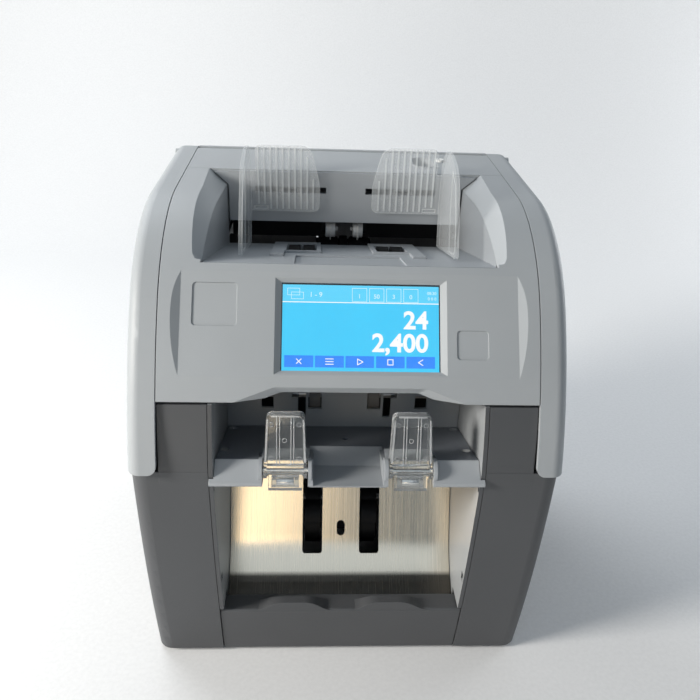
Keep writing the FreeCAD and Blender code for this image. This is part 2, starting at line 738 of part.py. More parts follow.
# Base: dark covers with columns, lip, plate and feet
def base_cover():
    top = side_low_z - seam_gap
    edge_round = 12.0

    def block(inset, low, high, x0, x1, back_y, radius):
        start, steps = base_steps(inset, low)
        bend = base_y(bend_low_z, inset)
        steps = steps + [((bend - 0.12, (bend_low_z + high) / 2), (bend - 0.1, high))]
        body = slab(start, steps + [(back_y, high), (back_y, low)], x0, x1)
        front = []
        for edge in body.Edges:
            on_face = all(abs(point.X - x1) < 1e-6 for point in edge.Vertexes)
            if on_face and max(point.Y for point in edge.Vertexes) < -100:
                front.append(edge)
        return body.makeFillet(radius, front)

    outer = block(0.0, foot_height, top, column_x, half_width, rear_y - 3.8, edge_round)
    inner = block(wall, foot_height - 1, top + 1, column_x - 5, half_width - wall, rear_y,
                  edge_round - wall)
    cover = outer.cut(inner)
    y0 = base_y(bend_low_z)
    column = slab((y0, bend_low_z), column_steps(0.0) + [
        (column_end[0] + wall, column_end[1]),
        ((column_mid[0] + wall, column_mid[1]), (bend_end[0] + wall, bend_end[1])),
        ((bend_mid[0] + wall, bend_mid[1]), (y0 + wall, bend_low_z))], column_x, seam_x - seam_gap)
    for axis in cover_screw_axes:
        cover = cover.cut(rod(half_width - 1.6, half_width + 1, axis, 3.7))
        cover = cover.cut(rod(half_width - 9.0, half_width + 1, axis, 1.7))
    return joined([cover, column])


def s_curve(p0, p1):
    # two equal arcs, level at both ends
    width = p1[0] - p0[0]
    height = p1[1] - p0[1]
    radius = (width ** 2 + height ** 2) / (4 * abs(height))
    half_turn = math.asin(abs(width) / 2 / radius) / 2
    sign_x = math.copysign(1, width)
    sign_z = math.copysign(1, height)
    step_x = radius * math.sin(half_turn) * sign_x
    step_z = radius * (1 - math.cos(half_turn)) * sign_z
    middle = ((p0[0] + p1[0]) / 2, (p0[1] + p1[1]) / 2)
    return ((p0[0] + step_x, p0[1] + step_z), middle, (p1[0] - step_x, p1[1] - step_z))


def front_lip():
    half = column_x - 0.6
    set_back = 0.8
    rear = -105.0
    mid_z = lip_top_z / 2
    front = base_y(lip_top_z) + set_back
    round_top = 2.5
    skin = 4.0
    lip = slab((base_y(foot_height) + set_back, foot_height), [
        ((base_y(mid_z) + set_back, mid_z),
         (base_y(lip_top_z - round_top) + set_back, lip_top_z - round_top)),
        ((front + 0.7, lip_top_z - 0.6), (front + round_top, lip_top_z)),
        (rear, lip_top_z), (rear, 36.0), (rear - skin, 36.0), (rear - skin, lip_top_z - skin),
        (front + skin + 1, lip_top_z - skin),
        ((base_y(mid_z) + set_back + skin, mid_z), (base_y(foot_height) + set_back + skin, foot_height))],
        -half, half)
    peak = 64.0
    low = lip_top_z - 1.0
    points = [(72.0, low), (44.5, peak), (30.0, peak), (4.5, low)]
    up = s_curve(points[0], points[1])
    down = s_curve(points[2], points[3])

    def at(p):
        return V(p[0], -130, p[1])

    edges = [Part.Arc(at(points[0]), at(up[0]), at(up[1])).toShape(),
             Part.Arc(at(up[1]), at(up[2]), at(points[1])).toShape(),
             Part.LineSegment(at(points[1]), at(points[2])).toShape(),
             Part.Arc(at(points[2]), at(down[0]), at(down[1])).toShape(),
             Part.Arc(at(down[1]), at(down[2]), at(points[3])).toShape(),
             Part.LineSegment(at(points[3]), at(points[0])).toShape()]
    bump = Part.Face(Part.Wire(edges)).extrude(V(0, 30, 0))
    high = peak + 4
    shadow = slab((base_y(50) + set_back, 50.0), [
        (base_y(high) + set_back + 1.0, high), (-116.5, high), (-108.5, 52.0)], 0, 100)
    bump = bump.common(shadow)
    return joined([lip] + both_sides(bump))


def base_plate():
    plate = box(-half_width + wall + 0.5, half_width - wall - 0.5, -106.0, rear_y - 4, 6.0, 8.0)
    corners = [edge for edge in plate.Edges
               if abs(edge.Vertexes[0].Z - edge.Vertexes[1].Z) > 1 and edge.Vertexes[0].Y < 0]
    plate = plate.makeChamfer(9.0, corners)
    for x, y in foot_places:
        plate = plate.cut(post(x, y, 0, 20, 2.2))
    return plate


def feet():
    pads = []
    for x, y in foot_places:
        pad = Part.makeCone(9.0, 11.0, 6.0, V(x, y, 0))
        pads.append(pad.fuse(post(x, y, 5, 9.5, 2.15)).removeSplitter())
    return pads


# Pocket linings and the brushed steel chute
def pocket_wall():
    low = 58.0
    start = (base_y(low), low)
    mid_z = (low + bend_low_z) / 2
    steps = [((base_y(mid_z), mid_z), (base_y(bend_low_z), bend_low_z))] + column_steps(0.0)
    back = -45.5
    steps += [(back, column_end[1]), (back, 40.0), (-100.0, 40.0), (-100.0, low)]
    plate = slab(start, steps, pocket_x, pocket_x + wall)
    plate = plate.cut(box(80, 110, -134.0, -131.6, 180.5, 187.5))
    return plate.cut(box(80, 110, -124.8, -119.6, 87.5, 95.0))


def stacker_chute():
    thick = 1.2
    bend = 20.0
    floor_angle = math.radians(31.0)
    floor_length = 34.0
    steep = (math.sin(chute_lean), math.cos(chute_lean))
    ahead = (-math.cos(floor_angle), -math.sin(floor_angle))

    def path(offset):
        # offset of the bent sheet to its hidden side
        a = (steep[1] * offset, -steep[0] * offset)
        b = (-ahead[1] * offset, ahead[0] * offset)
        b = (-b[0], -b[1]) if b[1] > 0 else b
        top = (chute_corner[0] + steep[0] * 92 + a[0], chute_corner[1] + steep[1] * 92 + a[1])
        in0 = (chute_corner[0] + steep[0] * bend + a[0], chute_corner[1] + steep[1] * bend + a[1])
        out0 = (chute_corner[0] + ahead[0] * bend + b[0], chute_corner[1] + ahead[1] * bend + b[1])
        end = (chute_corner[0] + ahead[0] * floor_length + b[0],
               chute_corner[1] + ahead[1] * floor_length + b[1])
        mid = (chute_corner[0] + (steep[0] + ahead[0]) * bend * 0.27 + (a[0] + b[0]) / 2,
               chute_corner[1] + (steep[1] + ahead[1]) * bend * 0.27 + (a[1] + b[1]) / 2)
        return top, in0, mid, out0, end

    f = path(0.0)
    h = path(thick)
    sheet_metal = slab(f[0], [f[1], (f[2], f[3]), f[4], h[4], h[3], (h[2], h[1]), h[0]],
                       -pocket_x + 0.6, pocket_x - 0.6)
    slot = round_corners(box(15.5, 32.0, -90, 20, 70.5, 170), ((15.5, 70.5, 2.2), (32.0, 70.5, 2.2)))
    for cut in both_sides(slot):
        sheet_metal = sheet_metal.cut(cut)
    for x, half in ((-81.0, 3.5), (-36.0, 3.5), (0.0, 1.8), (36.0, 3.5), (81.0, 3.5)):
        sheet_metal = sheet_metal.cut(box(x - half, x + half, -120, f[4][0] + 3.0, 30, 60))
    window_half = 3.4
    window_z = (86.4, 91.6)
    window = box(-window_half, window_half, -90, -30, *window_z)
    for z in window_z:
        window = window.fuse(Part.makeCylinder(window_half, 60, V(0, -90, z), V(0, 1, 0)))
    sheet_metal = sheet_metal.cut(window)
    return sheet_metal


# Reject pocket: shelf with stop ears, floor plate, screws and slotted back wall
def reject_shelf():
    inner = pocket_x - 0.3
    plate = 2.05
    skin = 4.6
    back = reject_back_y - 1.0
    nose = slab((-124.1, reject_z(-124.1) - plate), [
        (-124.1, reject_z(-124.1)), (-124.7, reject_z(-124.7)), (-137.2, 192.4),
        ((-138.4, 190.4), (-136.6, 188.4)), (-118.0, 185.5), (-110.0, reject_z(-110.0) - skin),
        (back, reject_z(back) - skin), (back, reject_z(back) - plate)], -inner, inner)
    cap = 3.2
    cap_y = -135.5
    ends = nose.common(box(-inner, -inner + cap, -145, cap_y, 180, 200))
    ends.translate(V(-cap, 0, 0))
    scoop_half = 24.0
    fold = (-113.0, 188.8)
    scoop = slab((-97.0, 194.5), [fold, (-141.0, 190.4), (-141.0, 220.0), (-97.0, 220.0)],
                 -scoop_half, scoop_half)
    pan = slab((-97.0, 194.5), [fold, (-137.0, 190.2), (-137.0, 187.9), (fold[0], 186.2), (-97.0, 190.8)],
               -scoop_half - 2.5, scoop_half + 2.5)
    cheek = slab((-97.0, reject_z(-97.0) - plate), [(-119.0, reject_z(-119.0) - plate), (-119.0, 186.4),
                 (fold[0], 186.4), (-97.0, 190.9)], scoop_half, scoop_half + 2.5)
    shelf = nose.cut(scoop)
    shelf = joined([shelf, pan] + both_sides(cheek) + both_sides(ends))
    slot_half = 15.6
    for slot in both_sides(box(stop_x - slot_half, stop_x + slot_half, -150, -110.5, 170, 240)):
        shelf = shelf.cut(slot)
    hood = box(stop_x - slot_half - 1, stop_x + slot_half + 1, -121.7, -109.0, 199.5, 201.0)
    shelf = joined([shelf] + both_sides(hood))
    ear = 2.6
    ears = []
    for x in (stop_x - slot_half - ear, stop_x + slot_half):
        lobe = rod(x, x + ear, stop_axis, 8.4)
        web = slab((stop_axis[0] - 2, 188.5), [(-119, 186.5), (-119, 200.4), (stop_axis[0], 199)],
                   x, x + ear)
        ears += both_sides(joined([lobe, web]))
    shelf = joined([shelf] + ears)
    for bore in both_sides(rod(stop_x - 19, stop_x + 19, stop_axis, 1.53)):
        shelf = shelf.cut(bore)
    for hole in screw_tools(1.5, 1.5, 0.0, 8.0):
        shelf = shelf.cut(hole)
    shelf = shelf.cut(post(0, sensor_hole_y, 150, 240, sensor_hole_radius))
    return shelf.removeSplitter()


def screw_tools(shank, head, head_depth, length):
    tools = []
    for x, y in screw_places:
        tool = Part.makeCylinder(shank, length, V(0, 0, -length))
        if head_depth > 0:
            tool = tool.fuse(Part.makeCone(shank, head, head_depth, V(0, 0, -head_depth)))
        tool.rotate(V(0, 0, 0), V(1, 0, 0), -math.degrees(math.atan(reject_fall)))
        tool.translate(V(x, y, reject_z(y)))
        tools.append(tool)
    return tools


def reject_floor_plate():
    thick = 2.0
    y0, y1 = -123.8, reject_back_y - 1.0
    plate = slab((y0, reject_z(y0)), [
        (y1, reject_z(y1)), (y1, reject_z(y1) - thick), (y0, reject_z(y0) - thick)],
        -pocket_x + 0.6, pocket_x - 0.6)
    plate = plate.cut(box(-26.7, 26.7, -150, -96.7, 150, 240))
    for slot in both_sides(box(24.5, 62.0, -150, -110.2, 150, 240)):
        plate = plate.cut(slot)
    for tool in screw_tools(1.6, 3.3, 1.7, 8.0):
        plate = plate.cut(tool)
    return plate.cut(post(0, sensor_hole_y, 150, 240, sensor_hole_radius))


def reject_floor_screws():
    screws = []
    for tool in screw_tools(1.45, 3.1, 1.6, 6.0):
        screws.append(tool.removeSplitter())
    return screws


def reject_back_wall():
    half = pocket_x - 0.3
    low, high = 178.0, 212.0
    y0 = reject_back_y
    plate = box(-half, half, y0, y0 + 2.5, low, high)
    cuts = []
    for x0, x1, z0, z1 in ((18.0, 28.4, 197.0, high + 1), (30.4, 36.4, 189.4, high + 1),
                           (36.0, 41.0, 207.3, high + 1), (55.5, 64.8, 197.6, 209.5)):
        cuts += both_sides(box(x0, x1, y0 - 1, y0 + 4, z0, z1))
    return plate.cut(joined(cuts))


# Reject stops: clear flanged levers on pins
def reject_stop():
    low_half, high_half = 14.8, 13.0
    top = 40.5
    skin = 2.2
    face_y = (-4.6, -2.4)

    def taper(y0, y1, z0, z1, trim, corner):
        def half(z):
            return low_half + (high_half - low_half) * max(z, 0) / top - trim
        points = [(-half(z0), y0, z0), (half(z0), y0, z0), (half(z1), y0, z1), (-half(z1), y0, z1)]
        block = polygon_prism(points, (0, y1 - y0, 0))
        return round_corners(block, ((-half(z1), z1, corner), (half(z1), z1, corner)))

    corner = 3.4
    face = taper(face_y[0], face_y[1], 7.0, top, 0.0, corner)
    hollow = taper(-20, 20, -20, top - skin, skin, corner - skin)
    flanges = taper(face_y[0], 4.6, 0.0, top, 0.0, corner).cut(hollow)
    barrel = rod(-low_half, low_half, (0, 0), 4.4)
    side_discs = both_sides(rod(low_half - skin, low_half, (0, 0), 6.0))
    foot = box(-11.5, 11.5, face_y[0], -1.0, -13.5, 0.0)
    foot = foot.fuse(box(-11.5, 11.5, face_y[0], 3.0, -13.5, -11.2))
    ribs = [box(x - 0.9, x + 0.9, face_y[0] - 0.8, face_y[0] + 0.3, 9.0, top - 4) for x in (-5.0, 5.0)]
    web = box(-11.5, 11.5, face_y[0], face_y[1], 0.0, 8.0)
    stop = joined([face, flanges, barrel, foot, web] + side_discs + ribs)
    stop = stop.cut(rod(-30, 30, (0, 0), 1.5 + fit + 0.02))
    stop.rotate(V(0, 0, 0), V(1, 0, 0), -stop_lean)
    stop.translate(V(stop_x, stop_axis[0], stop_axis[1]))
    return stop


def hinge_pins():
    pins = []
    for axis in (cover_axis, door_axis):
        pins += both_sides(rod(121.0, 139.0, axis, hinge_pin_radius))
    pins += both_sides(rod(stop_x - 17.9, stop_x + 17.9, stop_axis, 1.5))
    return pins


# Mechanism: frames, bearings, shafts with pulleys, rollers, belts and motors
bearing_axes = (pickup_axis, feed_axis, upper_axis, lower_axis, exit_axis, stacker_axis, gate_axis,
                (idler_y, upper_axis[1]), (idler_y, lower_axis[1]))


def frame_plate(motor_hole):
    back_y = 117.2
    low = 8.1
    top = 297.0
    plate = slab((-45.0, low), [(back_y, low), (back_y, top), (6.0, top), (-45.0, 262.0)],
                 frame_x, frame_x + sheet)
    flange = box(frame_x, frame_x + 14, -45, back_y, low, low + sheet)
    plate = plate.fuse(flange)
    for axis in bearing_axes:
        plate = plate.cut(rod(90, 110, axis, bearing_radius + 0.03))
    if motor_hole:
        plate = plate.cut(rod(90, 110, motor_hole, 7.0))
    plate = plate.cut(box(90, 110, 5, 60, 160, 240))
    return plate.removeSplitter()


def bearings():
    rings = []
    for axis in bearing_axes:
        rings += both_sides(ring(frame_x - 1.5, frame_x + 3.5, axis, bearing_radius, shaft_radius + fit))
    return rings


def pulley(x0, x1, axis, radius):
    body = rod(x0, x1, axis, radius)
    rims = [rod(x0, x0 + 0.8, axis, radius + 1.6), rod(x1 - 0.8, x1, axis, radius + 1.6)]
    return [body] + rims


def roller_shaft(axis, radius):
    shaft = rod(-frame_x - 5, pulley_x[1] + 2, axis, shaft_radius)
    return joined([shaft] + pulley(*pulley_x, axis, radius))


def rollers(axis, radius, spans):
    return [ring(x0, x1, axis, radius, shaft_radius + fit) for x0, x1 in spans]


def idler(z):
    axis = (idler_y, z)
    parts = [rod(-frame_x - 4.5, frame_x + 4.5, axis, shaft_radius)]
    for x0, x1 in transport_spans:
        parts.append(rod(x0 + 1, x1 - 1, axis, idler_radius))
    return joined(parts)


def stacker_shaft():
    return rod(-pulley_x[1], frame_x + 5, stacker_axis, shaft_radius)


def stacker_wheel(x0, x1):
    # hub with thin swept fingers
    hub = 14.0
    tip = 38.4
    thick = 1.6
    fingers = 12
    parts = [rod(x0, x1, stacker_axis, hub)]
    for place in range(fingers):
        turn = 2 * math.pi * place / fingers
        sweep = 0.95
        a = polar(stacker_axis, hub - 2, turn)
        b = polar(stacker_axis, (hub + tip) / 2, turn + sweep * 0.36)
        c = polar(stacker_axis, tip, turn + sweep)
        d = polar(stacker_axis, tip - thick, turn + sweep)
        e = polar(stacker_axis, (hub + tip) / 2 - thick, turn + sweep * 0.36 + 0.02)
        f = polar(stacker_axis, hub - 2, turn + thick / hub)
        parts.append(slab(a, [(b, c), d, (e, f)], x0, x1))
    wheel = joined(parts)
    return wheel.cut(rod(x0 - 1, x1 + 1, stacker_axis, shaft_radius + fit))


def motor(x0, x1, axis, radius, bore_radius):
    # case with a wider end cap, bored for the shaft that enters at x1
    body = joined([rod(x0, x1, axis, radius), rod(x1 - 6, x1, axis, radius + 1)])
    return body.cut(rod(x1 - 14, x1 + 1, axis, bore_radius + fit))


def motor_pulley(axis, radius):
    stem = rod(frame_x - 8, pulley_x[1] + 2, axis, motor_shaft)
    return joined([stem] + pulley(*pulley_x, axis, radius))


def belt(stops, x0, x1):
    # loop round the pulleys, listed anticlockwise in side view, each as axis and radius
    def loop(extra):
        pairs = []
        count = len(stops)
        for place in range(count):
            (c0, r0), (c1, r1) = stops[place], stops[(place + 1) % count]
            dy, dz = c1[0] - c0[0], c1[1] - c0[1]
            gap = math.hypot(dy, dz)
            angle = math.atan2(dz, dy) - math.acos((r0 - r1) / gap)
            pairs.append((polar(c0, r0 + extra, angle), polar(c1, r1 + extra, angle), angle))
        edges = []
        for place in range(count):
            start, end, angle = pairs[place]
            after = pairs[(place + 1) % count]
            edges.append(Part.LineSegment(V(0, *start), V(0, *end)).toShape())
            turn = (after[2] - angle) % (2 * math.pi)
            centre, radius = stops[(place + 1) % count]
            middle = polar(centre, radius + extra, angle + turn / 2)
            edges.append(Part.Arc(V(0, *end), V(0, *middle), V(0, *after[0])).toShape())
        face = Part.Face(Part.Wire(edges))
        face.translate(V(x0, 0, 0))
        return face.extrude(V(x1 - x0, 0, 0))
    return loop(belt_gap + belt_thick).cut(loop(belt_gap))


def main_belt():
    return belt(((motor_axis, motor_pulley_radius), (lower_axis, big_pulley), (upper_axis, big_pulley),
                 (feed_axis, big_pulley), (pickup_axis, big_pulley), (exit_axis, exit_pulley)), *belt_x)


def diverter_gate():
    y, z = gate_axis
    parts = [rod(-frame_x - 4.5, frame_x + 4.5, gate_axis, shaft_radius)]
    for x in (-70.0, -35.0, 0.0, 35.0, 70.0):
        parts.append(slab((y - 5.5, z), [
            ((y, z + 5.5), (y + 4, z + 4.0)), (y + 30, z + 1.0), (y + 30, z - 1.0),
            (y + 4, z - 4.0), ((y, z - 5.5), (y - 5.5, z))], x - 3.5, x + 3.5))
    return joined(parts)


def diverter_solenoid():
    body = box(56, 90, -20, 6, 226, 250)
    cap = rod(52, 56, (-7, 238), 6.0)
    bracket = box(88, frame_x - 0.1, -16, 2, 252, 254)
    tie = box(86, 90, -16, 2, 249, 254)
    return joined([body, cap, bracket, tie])


def path_guide():
    guide = box(-97, 97, idler_y - 5.2, idler_y - 4.2, 150, 262)
    for z in (upper_axis[1], lower_axis[1]):
        for x0, x1 in transport_spans:
            guide = guide.cut(box(x0 - 2, x1 + 2, 80, 130, z - 9, z + 9))
    guide = guide.cut(box(-92, 92, 80, 130, 197, 211))
    throat_half = 99.0
    floor = slab((51.8, 297.3), [(78.0, 296.6), ((91.6, 290.8), (96.4, 279.0)), (95.2, 279.0),
                 ((90.6, 289.9), (77.8, 295.4)), (51.8, 296.1)], -throat_half, throat_half)
    for x0, x1 in feed_spans:
        floor = floor.cut(box(x0 - 1.5, x1 + 1.5, 50, 92, 285, 300))
    return [guide, floor]


def note_sensors():
    # two image bars facing the note path, the sensor behind the chute window and the reject floor sensor
    bars = []
    for y0, y1 in ((75.0, 97.5), (106.5, 118.5)):
        bars.append(box(-96, 96, y0, y1, 195.5, 212.5))
    bars.append(box(-9, 9, -52, -40, 78, 97))
    eye_z = reject_z(sensor_hole_y)
    bars.append(post(0, sensor_hole_y, eye_z - 5.2, eye_z - 2.2, sensor_hole_radius - 0.05))
    return bars


def main_board():
    board = box(-126, -124.4, -8, 118, 140, 272)
    for y, z in board_posts:
        board = board.cut(rod(-130, -120, (y, z), 1.6))
    return joined([board] + board_components())


def board_standoffs():
    posts = []
    for y, z in board_posts:
        stem = rod(-124.35, -frame_x - sheet / 2, (y, z), 3.0)
        posts.append(joined([stem, rod(-128.0, -124.0, (y, z), 1.55)]))
    return posts


def board_components():
    blocks = []
    for y, z, deep, tall, high in ((20, 180, 24, 24, 3), (60, 170, 18, 40, 8), (90, 200, 20, 16, 5),
                                   (30, 235, 40, 10, 9), (85, 245, 14, 14, 10)):
        blocks.append(box(-126 - high, -125.5, y, y + deep, z, z + tall))
    return blocks


def power_supply():
    case = box(-96, 24, 64, 128, 8.1, 46)
    hollow = box(-94.5, 22.5, 65.5, 126.5, 9.6, 44.5)
    case = case.cut(hollow)
    for place in range(9):
        x = -86 + place * 12
        case = case.cut(box(x, x + 4, 72, 120, 40, 50))
    return case


def cover_screws():
    # pan heads sunk in the base covers, low on each side
    screws = []
    for axis in cover_screw_axes:
        head = rod(half_width - 1.6, half_width, axis, 3.6)
        shank = rod(half_width - 9.0, half_width - 1.6, axis, 1.6)
        screws += both_sides(joined([head, shank]))
    return screws


right = side_cover()
save("side_cover_right", right)
save("side_cover_left", mirrored(right))
save("control_panel", control_panel())
save("touch_glass", touch_glass())
save("display_module", display_module())
save("feed_tray", feed_tray())
save("hopper_back_plate", hopper_back_plate())
guide = note_guide()
save("note_guide_right", guide)
save("note_guide_left", mirrored(guide))
save("top_cover", top_cover())
save("feed_gap_knob", feed_gap_knob())
save("separator_bracket", separator_bracket())
save("retard_rollers", both_sides(retard_roller()))
save("rear_door", rear_door())
save("rear_panel", rear_panel())
save("interface_ports", interface_ports())
save("power_inlet", power_inlet())
save("power_switch", power_switch())
dark = base_cover()
save("base_cover_right", dark)
save("base_cover_left", mirrored(dark))
save("front_lip", front_lip())
save("base_plate", base_plate())
save("feet", feet())
lining = pocket_wall()
save("pocket_wall_right", lining)
save("pocket_wall_left", mirrored(lining))
save("stacker_chute", stacker_chute())
save("reject_shelf", reject_shelf())
save("reject_floor_plate", reject_floor_plate())
save("reject_back_wall", reject_back_wall())
stop = reject_stop()
save("reject_stop_right", stop)
save("reject_stop_left", mirrored(stop))
save("hinge_pins", hinge_pins())
save("frame_plate_right", frame_plate(motor_axis))
save("frame_plate_left", joined([mirrored(frame_plate(None))] + board_standoffs()))
save("bearings", bearings())
save("pickup_shaft", roller_shaft(pickup_axis, big_pulley))
save("pickup_rollers", rollers(pickup_axis, pickup_radius, pickup_spans))
save("feed_shaft", roller_shaft(feed_axis, big_pulley))
save("feed_rollers", rollers(feed_axis, feed_radius, feed_spans))
save("upper_transport_shaft", roller_shaft(upper_axis, big_pulley))
save("upper_transport_rollers", rollers(upper_axis, transport_radius, transport_spans))
save("lower_transport_shaft", roller_shaft(lower_axis, big_pulley))
save("lower_transport_rollers", rollers(lower_axis, transport_radius, transport_spans))
save("upper_idler", idler(upper_axis[1]))
save("lower_idler", idler(lower_axis[1]))
save("exit_shaft", roller_shaft(exit_axis, exit_pulley))
save("exit_rollers", rollers(exit_axis, exit_radius, exit_spans))
save("stacker_shaft", stacker_shaft())
save("stacker_wheels", [stacker_wheel(x0, x1) for x0, x1 in wheel_spans])
save("main_motor", motor(34, 98, motor_axis, 21.0, motor_shaft))
save("stacker_motor", motor(-140, -104, stacker_axis, 17.0, shaft_radius))
save("main_motor_pulley", motor_pulley(motor_axis, motor_pulley_radius))
save("main_belt", main_belt())
save("diverter_gate", diverter_gate())
save("diverter_solenoid", diverter_solenoid())
save("path_guide", path_guide())
save("note_sensors", note_sensors())
save("main_board", main_board())
save("power_supply", power_supply())
save("screws", reject_floor_screws() + cover_screws())
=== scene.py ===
import json
import math
import bpy
from mathutils import Matrix, Vector


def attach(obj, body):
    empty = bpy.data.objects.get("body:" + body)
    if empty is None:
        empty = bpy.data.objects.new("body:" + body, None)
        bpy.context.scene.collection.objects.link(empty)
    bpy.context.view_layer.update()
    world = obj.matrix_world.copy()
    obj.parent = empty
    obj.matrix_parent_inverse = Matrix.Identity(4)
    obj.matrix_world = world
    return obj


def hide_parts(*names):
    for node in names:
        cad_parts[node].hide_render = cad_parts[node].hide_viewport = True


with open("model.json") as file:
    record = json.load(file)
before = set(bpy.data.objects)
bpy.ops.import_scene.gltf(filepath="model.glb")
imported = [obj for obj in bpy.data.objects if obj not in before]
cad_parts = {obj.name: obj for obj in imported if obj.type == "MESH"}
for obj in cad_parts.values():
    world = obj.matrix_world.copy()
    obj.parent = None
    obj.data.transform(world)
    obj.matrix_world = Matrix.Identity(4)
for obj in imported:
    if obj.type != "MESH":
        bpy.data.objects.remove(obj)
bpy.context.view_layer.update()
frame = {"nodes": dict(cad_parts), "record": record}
nodes = frame["nodes"]
mm = 0.001
print("frame loaded,", len(nodes), "nodes")


# camera at the same height, turn and slight roll as the photograph
cameraSet = {"place": (-0.0258, -0.5341, 0.4967), "yaw": 3.363, "pitch": 27.0, "roll": 2.289,
             "lens": 37.03, "sensor": 36.0}


def setCamera():
    yaw, pitch, roll = [math.radians(cameraSet[key]) for key in ("yaw", "pitch", "roll")]
    ahead = Vector((math.sin(yaw) * math.cos(pitch), math.cos(yaw) * math.cos(pitch), -math.sin(pitch)))
    level = Vector((math.cos(yaw), -math.sin(yaw), 0.0))
    above = level.cross(ahead)
    right = level * math.cos(roll) + above * math.sin(roll)
    up = above * math.cos(roll) - level * math.sin(roll)
    turn = Matrix((right, up, -ahead)).transposed()
    bpy.ops.object.camera_add(location=cameraSet["place"], rotation=turn.to_euler())
    camera = bpy.context.object
    camera.data.lens = cameraSet["lens"]
    camera.data.sensor_width = cameraSet["sensor"]
    camera.data.clip_start = 0.01
    bpy.context.scene.camera = camera


# studio: pale floor, pale world, a strong lamp on the left, weaker ones all round
studioSet = {"floorSize": 5.0, "sweepAt": 1.5, "sweepRise": 2.2, "sweepRound": 0.7,
             "floorColour": (0.80, 0.80, 0.80), "worldColour": (0.70, 0.85, 1.0), "worldStrength": 0.20,
             "viewColour": (0.72, 0.74, 0.76),
             "lamps": [("keyLamp", (-1.50, -0.62, 0.82), 0.5, 35.0, (1.0, 0.96, 0.90)),
                       ("fillLamp", (-0.2, -1.9, 1.7), 2.2, 6.5, (0.84, 0.92, 1.0)),
                       ("frontLamp", (-0.40, -2.0, 0.42), 0.75, 2.9, (1.0, 0.80, 0.54)),
                       ("backLamp", (-0.8, 0.8, 1.5), 1.2, 13.0, (0.92, 0.96, 1.0)),
                       ("sideLamp", (1.7, 0.95, 0.55), 1.0, 12.0, (0.96, 0.98, 1.0))]}


def paleView(tree, sky):
    # the camera sees a pale room past the edge of the floor; the light it gives stays as set
    seen = tree.nodes.new("ShaderNodeBackground")
    seen.inputs["Color"].default_value = (*studioSet["viewColour"], 1)
    path = tree.nodes.new("ShaderNodeLightPath")
    mix = tree.nodes.new("ShaderNodeMixShader")
    tree.links.new(path.outputs["Is Camera Ray"], mix.inputs["Fac"])
    tree.links.new(sky.outputs["Background"], mix.inputs[1])
    tree.links.new(seen.outputs["Background"], mix.inputs[2])
    tree.links.new(mix.outputs["Shader"], tree.nodes["World Output"].inputs["Surface"])


def setStudio():
    scene = bpy.context.scene
    scene.view_settings.view_transform = "Standard"
    world = bpy.data.worlds.new("paleRoom")
    scene.world = world
    world.use_nodes = True
    sky = world.node_tree.nodes["Background"]
    sky.inputs["Color"].default_value = (*studioSet["worldColour"], 1)
    sky.inputs["Strength"].default_value = studioSet["worldStrength"]
    paleView(world.node_tree, sky)
    for name, place, size, power, colour in studioSet["lamps"]:
        aim = (Vector((0, 0, 0.2)) - Vector(place)).to_track_quat("-Z", "Y")
        bpy.ops.object.light_add(type="AREA", location=place, rotation=aim.to_euler())
        lamp = bpy.context.object
        lamp.name = name
        lamp.data.shape = "DISK"
        lamp.data.size = size
        lamp.data.energy = power
        lamp.data.color = colour
    deselectAll()
    middle = studioSet["sweepAt"] - studioSet["floorSize"] / 2
    bpy.ops.mesh.primitive_plane_add(size=studioSet["floorSize"], location=(0, middle, -0.0002))
    floor = bpy.context.object
    floor.name = "studioFloor"
    bpy.ops.object.transform_apply(location=True)
    bpy.ops.object.mode_set(mode="EDIT")
    bpy.ops.mesh.select_mode(type="EDGE")
    selectEdges(floor, lambda a, b: min(a.y, b.y) > studioSet["sweepAt"] - 0.001)
    bpy.ops.mesh.extrude_region_move(TRANSFORM_OT_translate={"value": (0, 0, studioSet["sweepRise"])})
    selectEdges(floor, lambda a, b: min(a.y, b.y) > studioSet["sweepAt"] - 0.001 and max(a.z, b.z) < 0.01)
    bpy.ops.mesh.bevel(offset=studioSet["sweepRound"], segments=24)
    bpy.ops.object.mode_set(mode="OBJECT")
    bpy.ops.object.shade_smooth()
    paint, tree, shader = newMaterial("paleFloor")
    speck = noiseAt(tree, 300.0, 3.0)
    tint(tree, shader, speck, studioSet["floorColour"], 0.03)
    shader.inputs["Roughness"].default_value = 0.85
    floor.data.materials.append(paint)


def deselectAll():
    if bpy.context.object and bpy.context.object.mode != "OBJECT":
        bpy.ops.object.mode_set(mode="OBJECT")
    bpy.ops.object.select_all(action="DESELECT")


def selectEdges(piece, wanted):
    # picks edges of the piece in edit mode by the place of their two ends
    bpy.ops.object.mode_set(mode="OBJECT")
    mesh = piece.data
    for vertex in mesh.vertices:
        vertex.select = False
    for face in mesh.polygons:
        face.select = False
    for edge in mesh.edges:
        a, b = [mesh.vertices[end].co for end in edge.vertices]
        edge.select = bool(wanted(a, b))
    bpy.ops.object.mode_set(mode="EDIT")
    bpy.ops.mesh.select_mode(type="EDGE")


def selectFaces(piece, wanted):
    # picks faces of the piece in edit mode by their centre and normal
    bpy.ops.object.mode_set(mode="OBJECT")
    mesh = piece.data
    for vertex in mesh.vertices:
        vertex.select = False
    for edge in mesh.edges:
        edge.select = False
    for face in mesh.polygons:
        face.select = bool(wanted(face.center, face.normal))
    bpy.ops.object.mode_set(mode="EDIT")
    bpy.ops.mesh.select_mode(type="FACE")


# small builders shared by the finishes
def newMaterial(name):
    material = bpy.data.materials.new(name)
    material.use_nodes = True
    tree = material.node_tree
    shader = tree.nodes["Principled BSDF"]
    return material, tree, shader


